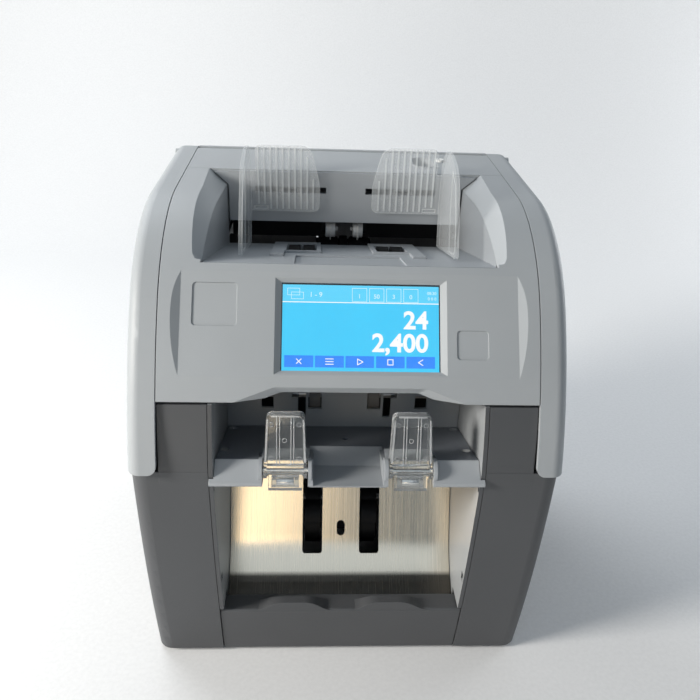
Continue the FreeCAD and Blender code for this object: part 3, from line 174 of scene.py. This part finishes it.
def noiseAt(tree, scale, detail=2.0, stretch=None):
    place = tree.nodes.new("ShaderNodeTexCoord")
    noise = tree.nodes.new("ShaderNodeTexNoise")
    noise.inputs["Scale"].default_value = scale
    noise.inputs["Detail"].default_value = detail
    source = place.outputs["Object"]
    if stretch:
        mapping = tree.nodes.new("ShaderNodeMapping")
        mapping.inputs["Scale"].default_value = stretch
        tree.links.new(source, mapping.inputs["Vector"])
        source = mapping.outputs["Vector"]
    tree.links.new(source, noise.inputs["Vector"])
    return noise.outputs["Fac"]


def tint(tree, shader, source, colour, spread):
    ramp = tree.nodes.new("ShaderNodeValToRGB")
    ramp.color_ramp.elements[0].position = 0.3
    ramp.color_ramp.elements[1].position = 0.7
    ramp.color_ramp.elements[0].color = (*[c * (1 - spread) for c in colour], 1)
    ramp.color_ramp.elements[1].color = (*[min(1.0, c * (1 + spread)) for c in colour], 1)
    tree.links.new(source, ramp.inputs["Fac"])
    tree.links.new(ramp.outputs["Color"], shader.inputs["Base Color"])


def spreadRoughness(tree, shader, source, low, high):
    span = tree.nodes.new("ShaderNodeMapRange")
    span.inputs["From Min"].default_value = 0.3
    span.inputs["From Max"].default_value = 0.7
    span.inputs["To Min"].default_value = low
    span.inputs["To Max"].default_value = high
    tree.links.new(source, span.inputs["Value"])
    tree.links.new(span.outputs["Result"], shader.inputs["Roughness"])


def bumpFrom(tree, shader, source, strength, distance, edge=0.0):
    bump = tree.nodes.new("ShaderNodeBump")
    bump.inputs["Strength"].default_value = strength
    bump.inputs["Distance"].default_value = distance
    tree.links.new(source, bump.inputs["Height"])
    if edge > 0:  # softened edges, as on a moulding
        soft = tree.nodes.new("ShaderNodeBevel")
        soft.samples = 4
        soft.inputs["Radius"].default_value = edge
        tree.links.new(soft.outputs["Normal"], bump.inputs["Normal"])
    tree.links.new(bump.outputs["Normal"], shader.inputs["Normal"])


def mathStep(tree, way, first, second):
    step = tree.nodes.new("ShaderNodeMath")
    step.operation = way
    for socket, value in zip(step.inputs, (first, second)):
        if isinstance(value, float):
            socket.default_value = value
        elif value is not None:
            tree.links.new(value, socket)
    return step.outputs["Value"]


def insideBox(tree, low, high):
    # 1 inside a box given in millimetres, the same on the left and the right
    place = tree.nodes.new("ShaderNodeTexCoord")
    split = tree.nodes.new("ShaderNodeSeparateXYZ")
    tree.links.new(place.outputs["Object"], split.inputs["Vector"])
    across = mathStep(tree, "ABSOLUTE", split.outputs["X"], None)
    mask = None
    for value, start, end in zip((across, split.outputs["Y"], split.outputs["Z"]), low, high):
        above = mathStep(tree, "GREATER_THAN", value, start * mm)
        below = mathStep(tree, "LESS_THAN", value, end * mm)
        both = mathStep(tree, "MULTIPLY", above, below)
        mask = both if mask is None else mathStep(tree, "MULTIPLY", mask, both)
    return mask


def nearEdge(tree, reach):
    # 1 close to an edge of the piece, falling to 0 on its flat faces
    soft = tree.nodes.new("ShaderNodeBevel")
    soft.samples = 6
    soft.inputs["Radius"].default_value = reach
    shape = tree.nodes.new("ShaderNodeNewGeometry")
    turn = tree.nodes.new("ShaderNodeVectorMath")
    turn.operation = "DOT_PRODUCT"
    tree.links.new(soft.outputs["Normal"], turn.inputs[0])
    tree.links.new(shape.outputs["True Normal"], turn.inputs[1])
    return mathStep(tree, "MULTIPLY", mathStep(tree, "SUBTRACT", 1.0, turn.outputs["Value"]), 4.0)


# finishes, one function per kind
def mouldedPlastic(name, colour, roughness=0.5, grain=1500.0, depth=0.25, edge=0.0006):
    material, tree, shader = newMaterial(name)
    tint(tree, shader, noiseAt(tree, 14.0, 3.0), colour, 0.035)
    grainNoise = noiseAt(tree, grain, 2.0)
    spreadRoughness(tree, shader, grainNoise, roughness - 0.06, roughness + 0.06)
    bumpFrom(tree, shader, grainNoise, depth, 0.0002, edge)
    return material


def brushedSteel(name, colour, stretch, roughness, depth):
    material, tree, shader = newMaterial(name)
    streak = noiseAt(tree, 1.0, 4.0, stretch)
    tint(tree, shader, streak, colour, 0.06)
    spreadRoughness(tree, shader, streak, roughness - 0.04, roughness + 0.05)
    bumpFrom(tree, shader, streak, depth, 0.0001)
    shader.inputs["Metallic"].default_value = 1.0
    return material


def chuteSteel(name, colour, stretch, roughness, depth):
    # brushed sheet with painted shade: darker towards its foot, standing in for the dark shelf underside it
    # reflects there
    material = brushedSteel(name, colour, stretch, roughness, depth)
    low, high = chuteLook["paintedShade"]
    shadeBy(material, heightRamp(material.node_tree, low, high), chuteLook["foot"])
    return material


def heightRamp(tree, low, high):
    # 1 below the low height in millimetres, falling to 0 at the high one
    place = tree.nodes.new("ShaderNodeTexCoord")
    split = tree.nodes.new("ShaderNodeSeparateXYZ")
    tree.links.new(place.outputs["Object"], split.inputs["Vector"])
    span = tree.nodes.new("ShaderNodeMapRange")
    span.inputs["From Min"].default_value = low * mm
    span.inputs["From Max"].default_value = high * mm
    span.inputs["To Min"].default_value = 1.0
    span.inputs["To Max"].default_value = 0.0
    tree.links.new(split.outputs["Z"], span.inputs["Value"])
    return span.outputs["Result"]


def shadeBy(material, mask, colour):
    # lays a second colour over the base colour where the mask is 1
    tree = material.node_tree
    shader = tree.nodes["Principled BSDF"]
    base = shader.inputs["Base Color"].links[0].from_socket
    mix = tree.nodes.new("ShaderNodeMix")
    mix.data_type = "RGBA"
    mix.inputs["B"].default_value = (*colour, 1)
    tree.links.new(mask, mix.inputs["Factor"])
    tree.links.new(base, mix.inputs["A"])
    tree.links.new(mix.outputs["Result"], shader.inputs["Base Color"])


def liningPlastic(name, colour, endColour):
    # light wall whose narrow front end is as dark as the columns beside it
    material = mouldedPlastic(name, colour, 0.42, 1800.0, 0.15)
    tree = material.node_tree
    shape = tree.nodes.new("ShaderNodeNewGeometry")
    split = tree.nodes.new("ShaderNodeSeparateXYZ")
    tree.links.new(shape.outputs["True Normal"], split.inputs["Vector"])
    shadeBy(material, mathStep(tree, "LESS_THAN", split.outputs["Y"], -0.5), endColour)
    return material


def dullPlastic(name, colour, roughness, shine):
    material = mouldedPlastic(name, colour, roughness, 1500.0, 0.2, 0.0004)
    material.node_tree.nodes["Principled BSDF"].inputs["Specular IOR Level"].default_value = shine
    return material


def clearPlastic(name, colour, roughness, depth, clear=1.0):
    material, tree, shader = newMaterial(name)
    ripple = noiseAt(tree, 160.0, 2.0)
    tint(tree, shader, ripple, colour, 0.01)
    bumpFrom(tree, shader, ripple, depth, 0.0003)
    shader.inputs["Roughness"].default_value = roughness
    shader.inputs["IOR"].default_value = 1.49
    shader.inputs["Transmission Weight"].default_value = clear
    return material


def frostedPlastic(name, colour, roughness, haze):
    # thin cloudy sheet: each face hides a part of what is behind it, more at ribs, rims and edges, whose
    # whiter look is partly the sheet's haze and partly a painted highlight for the light they catch
    material, tree, shader = newMaterial(name)
    grainNoise = noiseAt(tree, 900.0, 2.0)
    tint(tree, shader, grainNoise, colour, 0.02)
    spreadRoughness(tree, shader, grainNoise, roughness - 0.05, roughness + 0.05)
    bumpFrom(tree, shader, grainNoise, 0.15, 0.0002)
    ribs = insideBox(tree, guideLook["ribLow"], guideLook["ribHigh"])
    rim = insideBox(tree, guideLook["rimLow"], guideLook["rimHigh"])
    # ribs, rim and edges take more of the pale colour: a painted highlight
    white = mathStep(tree, "MAXIMUM", mathStep(tree, "MAXIMUM", ribs, rim), nearEdge(tree, guideLook["edge"]))
    span = tree.nodes.new("ShaderNodeMapRange")
    span.inputs["To Min"].default_value = haze
    span.inputs["To Max"].default_value = guideLook["ribGlintHaze"]
    tree.links.new(white, span.inputs["Value"])
    tree.links.new(span.outputs["Result"], shader.inputs["Alpha"])
    return material


def turnedMetal(name, colour, roughness, stretch=(900.0, 40.0, 40.0)):
    material, tree, shader = newMaterial(name)
    rings = noiseAt(tree, 1.0, 3.0, stretch)
    tint(tree, shader, rings, colour, 0.06)
    spreadRoughness(tree, shader, rings, roughness - 0.05, roughness + 0.06)
    bumpFrom(tree, shader, rings, 0.08, 0.0001, 0.0003)
    shader.inputs["Metallic"].default_value = 1.0
    return material


def litPicture(name, colour, strength, spread=0.03):
    material, tree, shader = newMaterial(name)
    cells = noiseAt(tree, 25.0, 1.0)
    ramp = tree.nodes.new("ShaderNodeValToRGB")
    ramp.color_ramp.elements[0].color = (*[c * (1 - spread) for c in colour], 1)
    ramp.color_ramp.elements[1].color = (*[min(1.0, c * (1 + spread)) for c in colour], 1)
    tree.links.new(cells, ramp.inputs["Fac"])
    tree.links.new(ramp.outputs["Color"], shader.inputs["Emission Color"])
    shader.inputs["Emission Strength"].default_value = strength
    shader.inputs["Base Color"].default_value = (0.01, 0.01, 0.01, 1)
    shader.inputs["Roughness"].default_value = 0.4
    return material


# ribs, slot rim and edges of the frosted guides are made whiter than their flat faces, as painted highlights
guideLook = {"ribLow": (22.0, 45.5, 329.0), "ribHigh": (75.7, 47.15, 381.0), "rimLow": (63.3, 46.0, 328.8),
             "rimHigh": (74.7, 47.5, 332.0), "edge": 0.0010, "ribGlintHaze": 0.62}
# height span in millimetres and colour of the painted shade at the chute's foot
chuteLook = {"paintedShade": (58.0, 60.5), "foot": (0.11, 0.10, 0.085)}

finishSet = {
    "light_shell": lambda: mouldedPlastic("silverGreyShell", (0.36, 0.38, 0.395), 0.5),
    "light_inner": lambda: mouldedPlastic("silverGreyInner", (0.34, 0.36, 0.38), 0.42, 1800.0, 0.15),
    "dark_base": lambda: mouldedPlastic("darkGreyBase", (0.070, 0.073, 0.078), 0.5),
    "dark_plate": lambda: mouldedPlastic("satinDarkPlate", (0.16, 0.175, 0.20), 0.38, 2200.0, 0.08, 0.0003),
    "chute_steel": lambda: chuteSteel("brushedChute", (0.88, 0.80, 0.66), (2600.0, 9.0, 9.0), 0.24, 0.06),
    "clear_lever": lambda: clearPlastic("clearLever", (0.97, 0.985, 0.985), 0.04, 0.1, 0.95),
    "frosted_guide": lambda: frostedPlastic("frostedGuide", (0.74, 0.765, 0.775), 0.30, 0.22),
    "screen_glass": lambda: clearPlastic("screenCover", (0.99, 0.995, 1.0), 0.02, 0.0),
    "screen": lambda: mouldedPlastic("screenBack", (0.012, 0.013, 0.015), 0.35, 2500.0, 0.05, 0.0),
    "black_rubber": lambda: mouldedPlastic("blackRubber", (0.018, 0.018, 0.02), 0.75, 1200.0, 0.4, 0.0004),
    "black_plastic": lambda: mouldedPlastic("blackPlastic", (0.016, 0.017, 0.02), 0.36, 1800.0, 0.15, 0.0004),
    "bright_steel": lambda: turnedMetal("brightSteel", (0.78, 0.78, 0.77), 0.22),
    "shaft_steel": lambda: turnedMetal("turnedShaft", (0.55, 0.55, 0.56), 0.30),
    "plated_sheet": lambda: turnedMetal("platedSheet", (0.50, 0.52, 0.53), 0.42, (60.0, 60.0, 400.0)),
    "motor_case": lambda: mouldedPlastic("blackMotorCase", (0.03, 0.03, 0.033), 0.4, 1400.0, 0.2, 0.0006),
    "board": lambda: mouldedPlastic("greenBoard", (0.012, 0.13, 0.05), 0.35, 900.0, 0.1, 0.0),
    "white_knob": lambda: mouldedPlastic("whiteKnob", (0.80, 0.80, 0.78), 0.4, 1800.0, 0.15, 0.0004),
    "pale_roller": lambda: mouldedPlastic("paleRoller", (0.55, 0.55, 0.54), 0.4, 1800.0, 0.1, 0.0003),
    "grey_rubber": lambda: mouldedPlastic("greyRubber", (0.17, 0.165, 0.16), 0.55, 1200.0, 0.3, 0.0004),
    # pale clear finishes that paint highlights on the stops' edges, walls, ribs, rings and holders
    "clear_edge": lambda: clearPlastic("clearEdge", (0.95, 0.96, 0.96), 0.25, 0.1, 0.22),
    "clear_line": lambda: clearPlastic("clearLine", (0.93, 0.95, 0.96), 0.15, 0.1, 0.68),
    "deep_black": lambda: dullPlastic("deepBlack", (0.004, 0.0042, 0.005), 0.45, 0.15),
    "pocket_lining": lambda: liningPlastic("pocketLining", (0.35, 0.365, 0.375), (0.070, 0.073, 0.078)),
}
# nodes that look different from the rest of their slot
ownFinish = {"exit_rollers": "grey_rubber", "stacker_wheels": "deep_black", "pickup_rollers": "deep_black",
             "separator_bracket": "deep_black", "path_guide": "deep_black", "feed_rollers": "deep_black",
             # the feed shaft and the two frame plates are made near black as painted shade, where they sit in
             # shade deep behind the throat
             "retard_rollers": "pale_roller", "feed_shaft": "deep_black",
             "frame_plate_left": "motor_case", "frame_plate_right": "motor_case",
             "pocket_wall_left": "pocket_lining", "pocket_wall_right": "pocket_lining"}


def dressNodes():
    finishes = {slot: make() for slot, make in finishSet.items()}
    for row in frame["record"]["subparts"]:
        node = nodes[row["node"]]
        node.data.materials.clear()
        node.data.materials.append(finishes[ownFinish.get(row["node"], row["material_slot"])])
    return finishes


# the lit picture behind the cover glass: bands, boxes, plain numbers and simple signs
panelSet = {"tilt": 55.9, "place": (0.0, -96.5, 291.0)}
screenSet = {"centreX": 7.0, "halfWide": 53.4, "low": -29.8, "high": 29.2, "front": -5.30, "step": 0.05,
             "thick": 0.04,
             "sky": (0.024, 0.60, 1.0), "band": (0.085, 0.66, 1.0), "button": (0.0, 0.235, 1.0),
             "white": (1.0, 1.0, 1.0), "black": (0.004, 0.004, 0.005),
             "bandDepth": 0.203, "line": 0.35, "stroke": 0.55, "bold": 0.45, "paleBlue": (0.62, 0.90, 1.0),
             "boxRows": (0.030, 0.192), "boxFoot": 0.150, "boxTall": 3.0,
             "small": [("1 - 9", "LEFT", 0.170, 0.140, 3.4, 0.06),
                       ("08:30", "RIGHT", 0.985, 0.095, 2.1, 0.03),
                       ("0 0 0", "RIGHT", 0.985, 0.160, 2.1, 0.03)],
             "boxes": [(0.442, 0.538), (0.552, 0.648), (0.662, 0.758), (0.772, 0.868)],
             "boxNumbers": ["1", "50", "3", "0"],
             "numbers": [("24", 0.931, 0.497, 0.208), ("2,400", 0.931, 0.766, 0.212)],
             "buttons": [(0.017, 0.200), (0.210, 0.393), (0.403, 0.584), (0.597, 0.779), (0.790, 0.973)],
             "buttonRows": (0.822, 0.958)}


def onPanel():
    tilt = Matrix.Rotation(math.radians(panelSet["tilt"]), 4, "X")
    return Matrix.Translation(Vector(panelSet["place"]) * mm) @ tilt


def screenPoint(u, v):
    wide = 2 * screenSet["halfWide"]
    tall = screenSet["high"] - screenSet["low"]
    return screenSet["centreX"] - screenSet["halfWide"] + u * wide, screenSet["high"] - v * tall


def toPanel(piece, name, material):
    piece.name = name
    piece.data.transform(onPanel() @ piece.matrix_world)
    piece.matrix_world = Matrix.Identity(4)
    piece.data.materials.clear()
    piece.data.materials.append(material)
    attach(piece, "chassis")


def thinPlate(x0, x1, s0, s1, layer, corner=0.0):
    deselectAll()
    bpy.ops.mesh.primitive_plane_add(size=1.0)
    plate = bpy.context.object
    plate.scale = ((x1 - x0) * mm, (s1 - s0) * mm, 1)
    bpy.ops.object.transform_apply(location=False, rotation=False, scale=True)
    bpy.ops.object.mode_set(mode="EDIT")
    if corner > 0:
        bpy.ops.mesh.bevel(offset=corner * mm, segments=4, affect="VERTICES")
    bpy.ops.mesh.select_all(action="SELECT")
    bpy.ops.mesh.extrude_region_move(TRANSFORM_OT_translate={"value": (0, 0, -screenSet["thick"] * mm)})
    bpy.ops.mesh.select_all(action="SELECT")
    bpy.ops.mesh.normals_make_consistent(inside=False)
    bpy.ops.object.mode_set(mode="OBJECT")
    height = screenSet["front"] + layer * screenSet["step"]
    plate.data.transform(Matrix.Translation(Vector(((x0 + x1) / 2, (s0 + s1) / 2, height)) * mm))
    return plate


def joinPieces(pieces):
    deselectAll()
    for piece in pieces:
        piece.select_set(True)
    bpy.context.view_layer.objects.active = pieces[0]
    if len(pieces) > 1:
        bpy.ops.object.join()
    return bpy.context.view_layer.objects.active


def outlined(u0, u1, v0, v1, layer):
    bars = []
    line = screenSet["line"]
    x0, s1 = screenPoint(u0, v0)
    x1, s0 = screenPoint(u1, v1)
    bars.append(thinPlate(x0, x1, s1 - line, s1, layer))
    bars.append(thinPlate(x0, x1, s0, s0 + line, layer))
    bars.append(thinPlate(x0, x0 + line, s0 + line, s1 - line, layer))
    bars.append(thinPlate(x1 - line, x1, s0 + line, s1 - line, layer))
    return bars


def writtenNumber(words, x, s, tall, layer, align, bold=0.0):
    deselectAll()
    bpy.ops.object.text_add()
    text = bpy.context.object
    text.data.body = words
    text.data.align_x = align
    text.data.size = tall / 0.72 * mm
    text.data.offset = bold * mm
    text.data.extrude = screenSet["thick"] / 2 * mm
    text.data.resolution_u = 6
    bpy.ops.object.convert(target="MESH")
    height = screenSet["front"] + layer * screenSet["step"]
    text.data.transform(Matrix.Translation(Vector((x, s, height)) * mm))
    return text


def strokes(points, wide, layer):
    bars = []
    for (x0, s0), (x1, s1) in points:
        length = math.hypot(x1 - x0, s1 - s0)
        reach = (length + wide) / 2
        bar = thinPlate(-reach, reach, -wide / 2, wide / 2, layer, wide * 0.45)
        turn = Matrix.Rotation(math.atan2(s1 - s0, x1 - x0), 4, "Z")
        bar.data.transform(Matrix.Translation(Vector(((x0 + x1) / 2, (s0 + s1) / 2, 0)) * mm) @ turn)
        bars.append(bar)
    return bars


def buttonSigns(layer):
    signs = []
    rows = screenSet["buttonRows"]
    for place, (u0, u1) in enumerate(screenSet["buttons"]):
        x, s = screenPoint((u0 + u1) / 2, (rows[0] + rows[1]) / 2)
        if place == 0:  # a cross
            lines = [((x - 1.6, s - 1.6), (x + 1.6, s + 1.6)), ((x - 1.6, s + 1.6), (x + 1.6, s - 1.6))]
        elif place == 1:  # three list lines
            lines = [((x - 2.6, s + k), (x + 2.6, s + k)) for k in (-1.8, 0.0, 1.8)]
        elif place == 2:  # a start triangle
            lines = [((x - 1.5, s - 2.0), (x - 1.5, s + 2.0)), ((x - 1.5, s + 2.0), (x + 2.2, s)),
                     ((x + 2.2, s), (x - 1.5, s - 2.0))]
        elif place == 3:  # an empty square
            lines = [((x - 1.8, s - 1.8), (x + 1.8, s - 1.8)), ((x + 1.8, s - 1.8), (x + 1.8, s + 1.8)),
                     ((x + 1.8, s + 1.8), (x - 1.8, s + 1.8)), ((x - 1.8, s + 1.8), (x - 1.8, s - 1.8))]
        else:  # a back arrowhead
            lines = [((x + 1.5, s + 1.9), (x - 1.6, s)), ((x - 1.6, s), (x + 1.5, s - 1.9))]
        signs += strokes(lines, screenSet["stroke"], layer)
    return signs


def buildScreen():
    x0, s1 = screenPoint(0, 0)
    x1, s0 = screenPoint(1, 1)
    blackGlass = litPicture("screenBorder", screenSet["black"], 0.02)
    border = thinPlate(x0 - 3.5, x1 + 3.5, s0 - 3.2, s1 + 3.8, 0, 1.0)
    toPanel(border, "screenBorder", blackGlass)
    sky = thinPlate(x0, x1, s0, s1, 1)
    toPanel(sky, "screenSky", litPicture("screenSky", screenSet["sky"], 1.0, 0.06))
    bandLow = screenPoint(0, screenSet["bandDepth"])[1]
    band = thinPlate(x0, x1, bandLow, s1, 2)
    toPanel(band, "screenBand", litPicture("screenBand", screenSet["band"], 1.0))
    white = litPicture("screenWhite", screenSet["white"], 1.0, 0.0)
    marks = [thinPlate(x0, x1, bandLow - 0.3, bandLow + 0.3, 3)]
    pale = []
    for (u0, u1), words in zip(screenSet["boxes"], screenSet["boxNumbers"]):
        pale += outlined(u0, u1, *screenSet["boxRows"], 3)
        x, s = screenPoint((u0 + u1) / 2, screenSet["boxFoot"])
        pale.append(writtenNumber(words, x, s, screenSet["boxTall"], 3, "CENTER", 0.06))
    for k in (0.0, 1.0):  # a plain sign of two overlapping sheets at the left
        u = 0.030 + 0.024 * k
        pale += outlined(u, u + 0.080, 0.040 + 0.045 * k, 0.125 + 0.045 * k, 3)
    for words, align, u, v, tall, bold in screenSet["small"]:
        x, s = screenPoint(u, v)
        pale.append(writtenNumber(words, x, s, tall, 3, align, bold))
    for words, u, v, tall in screenSet["numbers"]:
        x, s = screenPoint(u, v)
        height = tall * (screenSet["high"] - screenSet["low"])
        marks.append(writtenNumber(words, x, s, height, 3, "RIGHT", screenSet["bold"]))
    toPanel(joinPieces(marks + buttonSigns(4)), "screenNumbers", white)
    paleBlue = litPicture("screenPale", screenSet["paleBlue"], 1.0, 0.0)
    toPanel(joinPieces(pale), "screenSigns", paleBlue)
    buttons = []
    rows = screenSet["buttonRows"]
    for u0, u1 in screenSet["buttons"]:
        bx0, bs1 = screenPoint(u0, rows[0])
        bx1, bs0 = screenPoint(u1, rows[1])
        buttons.append(thinPlate(bx0, bx1, bs0, bs1, 2))
    toPanel(joinPieces(buttons), "screenButtons", litPicture("screenButtons", screenSet["button"], 1.0))
    print("screen picture built")


# clear hinged stops: a ribbed tray-shaped blade on a knuckle, with a hollow foot below
stopSet = {"x": 43.2, "axis": (-128.6, 196.6), "lean": 15.7, "lowHalf": 14.8, "highHalf": 13.0, "top": 40.5,
           "front": -4.6, "back": 4.6, "skin": 2.2, "corner": 3.4, "knuckle": 4.4, "cheek": 6.0, "bore": 1.57,
           "footHalf": 11.5, "footLow": -13.5, "footTop": -2.0, "footBack": 3.0,
           "footRim": 2.0, "footSkin": 1.2, "edge": 0.4, "lineEdge": 0.12, "lineTop": 1.2, "sunk": 0.1,
           "ribs": (-4.8, 4.8), "ribGap": 1.9, "ribWide": 0.65, "ribDeep": 0.45, "ribLow": 5.5,
           "marks": ((-9.6, 33.5), (9.2, 33.5), (-0.6, 22.5), (-9.8, 9.5), (9.4, 9.5)), "markRadius": 1.45,
           "markLine": 0.22, "weight": 3.4, "weightHalf": 6.0, "weightAt": (-0.2, -8.0),
           "weightRim": 0.9, "weightHollow": 0.5, "weightEdge": 0.25,
           "holder": (6.3, 9.2), "holderBox": (-3.2, 2.4, -11.2, -6.2),
           "border": (0.4, 1.7), "borderLow": 7.0}


def block(x0, x1, y0, y1, z0, z1):
    deselectAll()
    bpy.ops.mesh.primitive_cube_add(size=1.0)
    piece = bpy.context.object
    piece.scale = ((x1 - x0) * mm, (y1 - y0) * mm, (z1 - z0) * mm)
    bpy.ops.object.transform_apply(location=False, rotation=False, scale=True)
    piece.data.transform(Matrix.Translation(Vector(((x0 + x1) / 2, (y0 + y1) / 2, (z0 + z1) / 2)) * mm))
    return piece


def crossBar(radius, low, high, y=0.0, z=0.0):
    # round bar from left to right
    deselectAll()
    bpy.ops.mesh.primitive_cylinder_add(vertices=40, radius=radius * mm, depth=(high - low) * mm)
    piece = bpy.context.object
    turn = Matrix.Rotation(math.pi / 2, 4, "Y")
    piece.data.transform(Matrix.Translation(Vector(((low + high) / 2, y, z)) * mm) @ turn)
    return piece


def combine(piece, others, way="UNION"):
    for other in others:
        change = piece.modifiers.new(way.lower(), "BOOLEAN")
        change.operation = way
        change.solver = "EXACT"
        change.object = other
        deselectAll()
        bpy.context.view_layer.objects.active = piece
        piece.select_set(True)
        bpy.ops.object.modifier_apply(modifier=change.name)
        bpy.data.objects.remove(other)
    return piece


def softenEdges(piece, width, segments=2, angle=35.0, paint=-1):
    deselectAll()
    bpy.context.view_layer.objects.active = piece
    piece.select_set(True)
    soft = piece.modifiers.new("soft", "BEVEL")
    soft.width = width * mm
    soft.segments = segments
    soft.limit_method = "ANGLE"
    soft.angle_limit = math.radians(angle)
    soft.material = paint
    bpy.ops.object.modifier_apply(modifier=soft.name)
    bpy.ops.object.shade_smooth_by_angle(angle=math.radians(40.0))
    return piece


def stopBlade():
    d = stopSet
    blade = block(-d["lowHalf"], d["lowHalf"], d["front"], d["back"], 0.0, d["top"])
    pinch = d["highHalf"] / d["lowHalf"]
    for vertex in blade.data.vertices:
        if vertex.co.z > 0.02:
            vertex.co.x *= pinch
    selectEdges(blade, lambda a, b: min(a.z, b.z) > 0.04 and abs(a.x - b.x) < 1e-6)
    bpy.ops.mesh.bevel(offset=d["corner"] * mm, segments=5)
    selectFaces(blade, lambda centre, normal: normal.y > 0.9)
    bpy.ops.mesh.inset(thickness=d["skin"] * mm)
    inward = d["front"] + d["skin"] - d["back"]
    bpy.ops.mesh.extrude_region_move(TRANSFORM_OT_translate={"value": (0, inward * mm, 0)})
    bpy.ops.object.mode_set(mode="OBJECT")
    return blade


def stopFoot():
    d = stopSet
    foot = block(-d["footHalf"], d["footHalf"], d["front"], d["footBack"], d["footLow"], d["footTop"])
    selectFaces(foot, lambda centre, normal: normal.y > 0.9)
    bpy.ops.mesh.inset(thickness=d["footRim"] * mm)
    inward = d["front"] + d["footSkin"] - d["footBack"]
    bpy.ops.mesh.extrude_region_move(TRANSFORM_OT_translate={"value": (0, inward * mm, 0)})
    bpy.ops.object.mode_set(mode="OBJECT")
    return foot


def onStop(piece, name, body, x):
    turn = Matrix.Rotation(-math.radians(stopSet["lean"]), 4, "X")
    piece.data.transform(Matrix.Translation(Vector((x, *stopSet["axis"])) * mm) @ turn)
    piece.name = name
    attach(piece, body)


def paint(piece, *kinds):
    piece.data.materials.clear()
    for kind in kinds:
        piece.data.materials.append(finishes[kind])
    for face in piece.data.polygons:
        face.material_index = 0


def buildStop(name, node, body, x):
    d = stopSet
    stop = stopBlade()
    extras = [crossBar(d["knuckle"], -d["lowHalf"], d["lowHalf"])]
    for x0 in (-d["lowHalf"], d["lowHalf"] - d["skin"]):
        extras.append(crossBar(d["cheek"], x0, x0 + d["skin"]))
    extras.append(stopFoot())
    combine(stop, extras)
    combine(stop, [crossBar(d["bore"], -20, 20)], "DIFFERENCE")
    paint(stop, "clear_lever", "clear_edge", "clear_line")
    for face in stop.data.polygons:  # the thin walls catch the light and look pale
        across = max(abs(face.normal.x), abs(face.normal.z))
        if across > 0.6 and (face.center.z > d["cheek"] * mm or face.center.z < -d["knuckle"] * mm):
            face.material_index = 2
    # the softened edges take the pale edge finish, a painted highlight along the stop's rims
    softenEdges(stop, d["edge"], paint=1)
    onStop(stop, name, body, x)
    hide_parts(node)


def stopBorder():
    # raised rim along the two sides and the top of the face
    d = stopSet
    front, back = d["front"] - d["ribDeep"], d["front"] + d["sunk"]
    high = d["top"] - d["corner"]
    fall = (d["lowHalf"] - d["highHalf"]) / d["top"]
    near, far = d["border"]
    edge = d["lowHalf"] - fall * d["borderLow"]
    strips = []
    for side in (-1, 1):
        strip = block(*sorted((side * (edge - far), side * (edge - near))), front, back, d["borderLow"], high)
        for vertex in strip.data.vertices:
            if vertex.co.z > 0.02:
                vertex.co.x -= side * fall * (high - d["borderLow"]) * mm
        strips.append(strip)
    half = d["highHalf"] - d["corner"]
    strips.append(block(-half, half, front, back, d["top"] - far, d["top"] - near))
    return strips


def buildStopLines(name, body, x):
    # moulded ribs, the raised rim, ejector rings and the two holders in the foot, all drawn in the pale line
    # finish as painted highlights; each rib is two pale lines for its lit edges
    d = stopSet
    front = d["front"]
    half = d["ribWide"] / 2
    lines = []
    for rib in d["ribs"]:
        for side in (-0.5, 0.5):
            middle = rib + side * d["ribGap"]
            lines.append(block(middle - half, middle + half, front - d["ribDeep"], front + d["sunk"],
                               d["ribLow"], d["top"] - d["lineTop"]))
    lines += stopBorder()
    for across, up in d["marks"]:
        deselectAll()
        bpy.ops.mesh.primitive_torus_add(major_radius=d["markRadius"] * mm, minor_radius=d["markLine"] * mm,
                                         major_segments=28, minor_segments=8)
        ring = bpy.context.object
        place = Matrix.Translation(Vector((across, front, up)) * mm)
        ring.data.transform(place @ Matrix.Rotation(math.pi / 2, 4, "X"))
        lines.append(ring)
    for side in (-1, 1):
        near, far = sorted(side * edge for edge in d["holder"])
        lines.append(block(near, far, *d["holderBox"]))
    lines = joinPieces(lines)
    paint(lines, "clear_line")
    softenEdges(lines, d["lineEdge"], 1, 50.0)
    onStop(lines, name, body, x)


def buildStopWeight(name, body, x):
    # steel weight seen through the clear foot
    d = stopSet
    weight = crossBar(d["weight"], -d["weightHalf"], d["weightHalf"], *d["weightAt"])
    selectFaces(weight, lambda centre, normal: abs(normal.x) > 0.9)
    bpy.ops.mesh.inset(thickness=d["weightRim"] * mm)
    bpy.ops.mesh.extrude_region_shrink_fatten(TRANSFORM_OT_shrink_fatten={"value": -d["weightHollow"] * mm})
    bpy.ops.object.mode_set(mode="OBJECT")
    paint(weight, "bright_steel")
    softenEdges(weight, d["weightEdge"])
    onStop(weight, name, body, x)


def buildStops():
    for side, x in (("Left", -stopSet["x"]), ("Right", stopSet["x"])):
        body = "stop_" + side.lower()
        buildStop("clearStop" + side, "reject_" + body, body, x)
        buildStopLines("stopLines" + side, body, x)
        buildStopWeight("stopWeight" + side, body, x)
    print("clear stops built")


setCamera()
setStudio()
finishes = dressNodes()
print("finishes on the CAD nodes")
buildScreen()
buildStops()
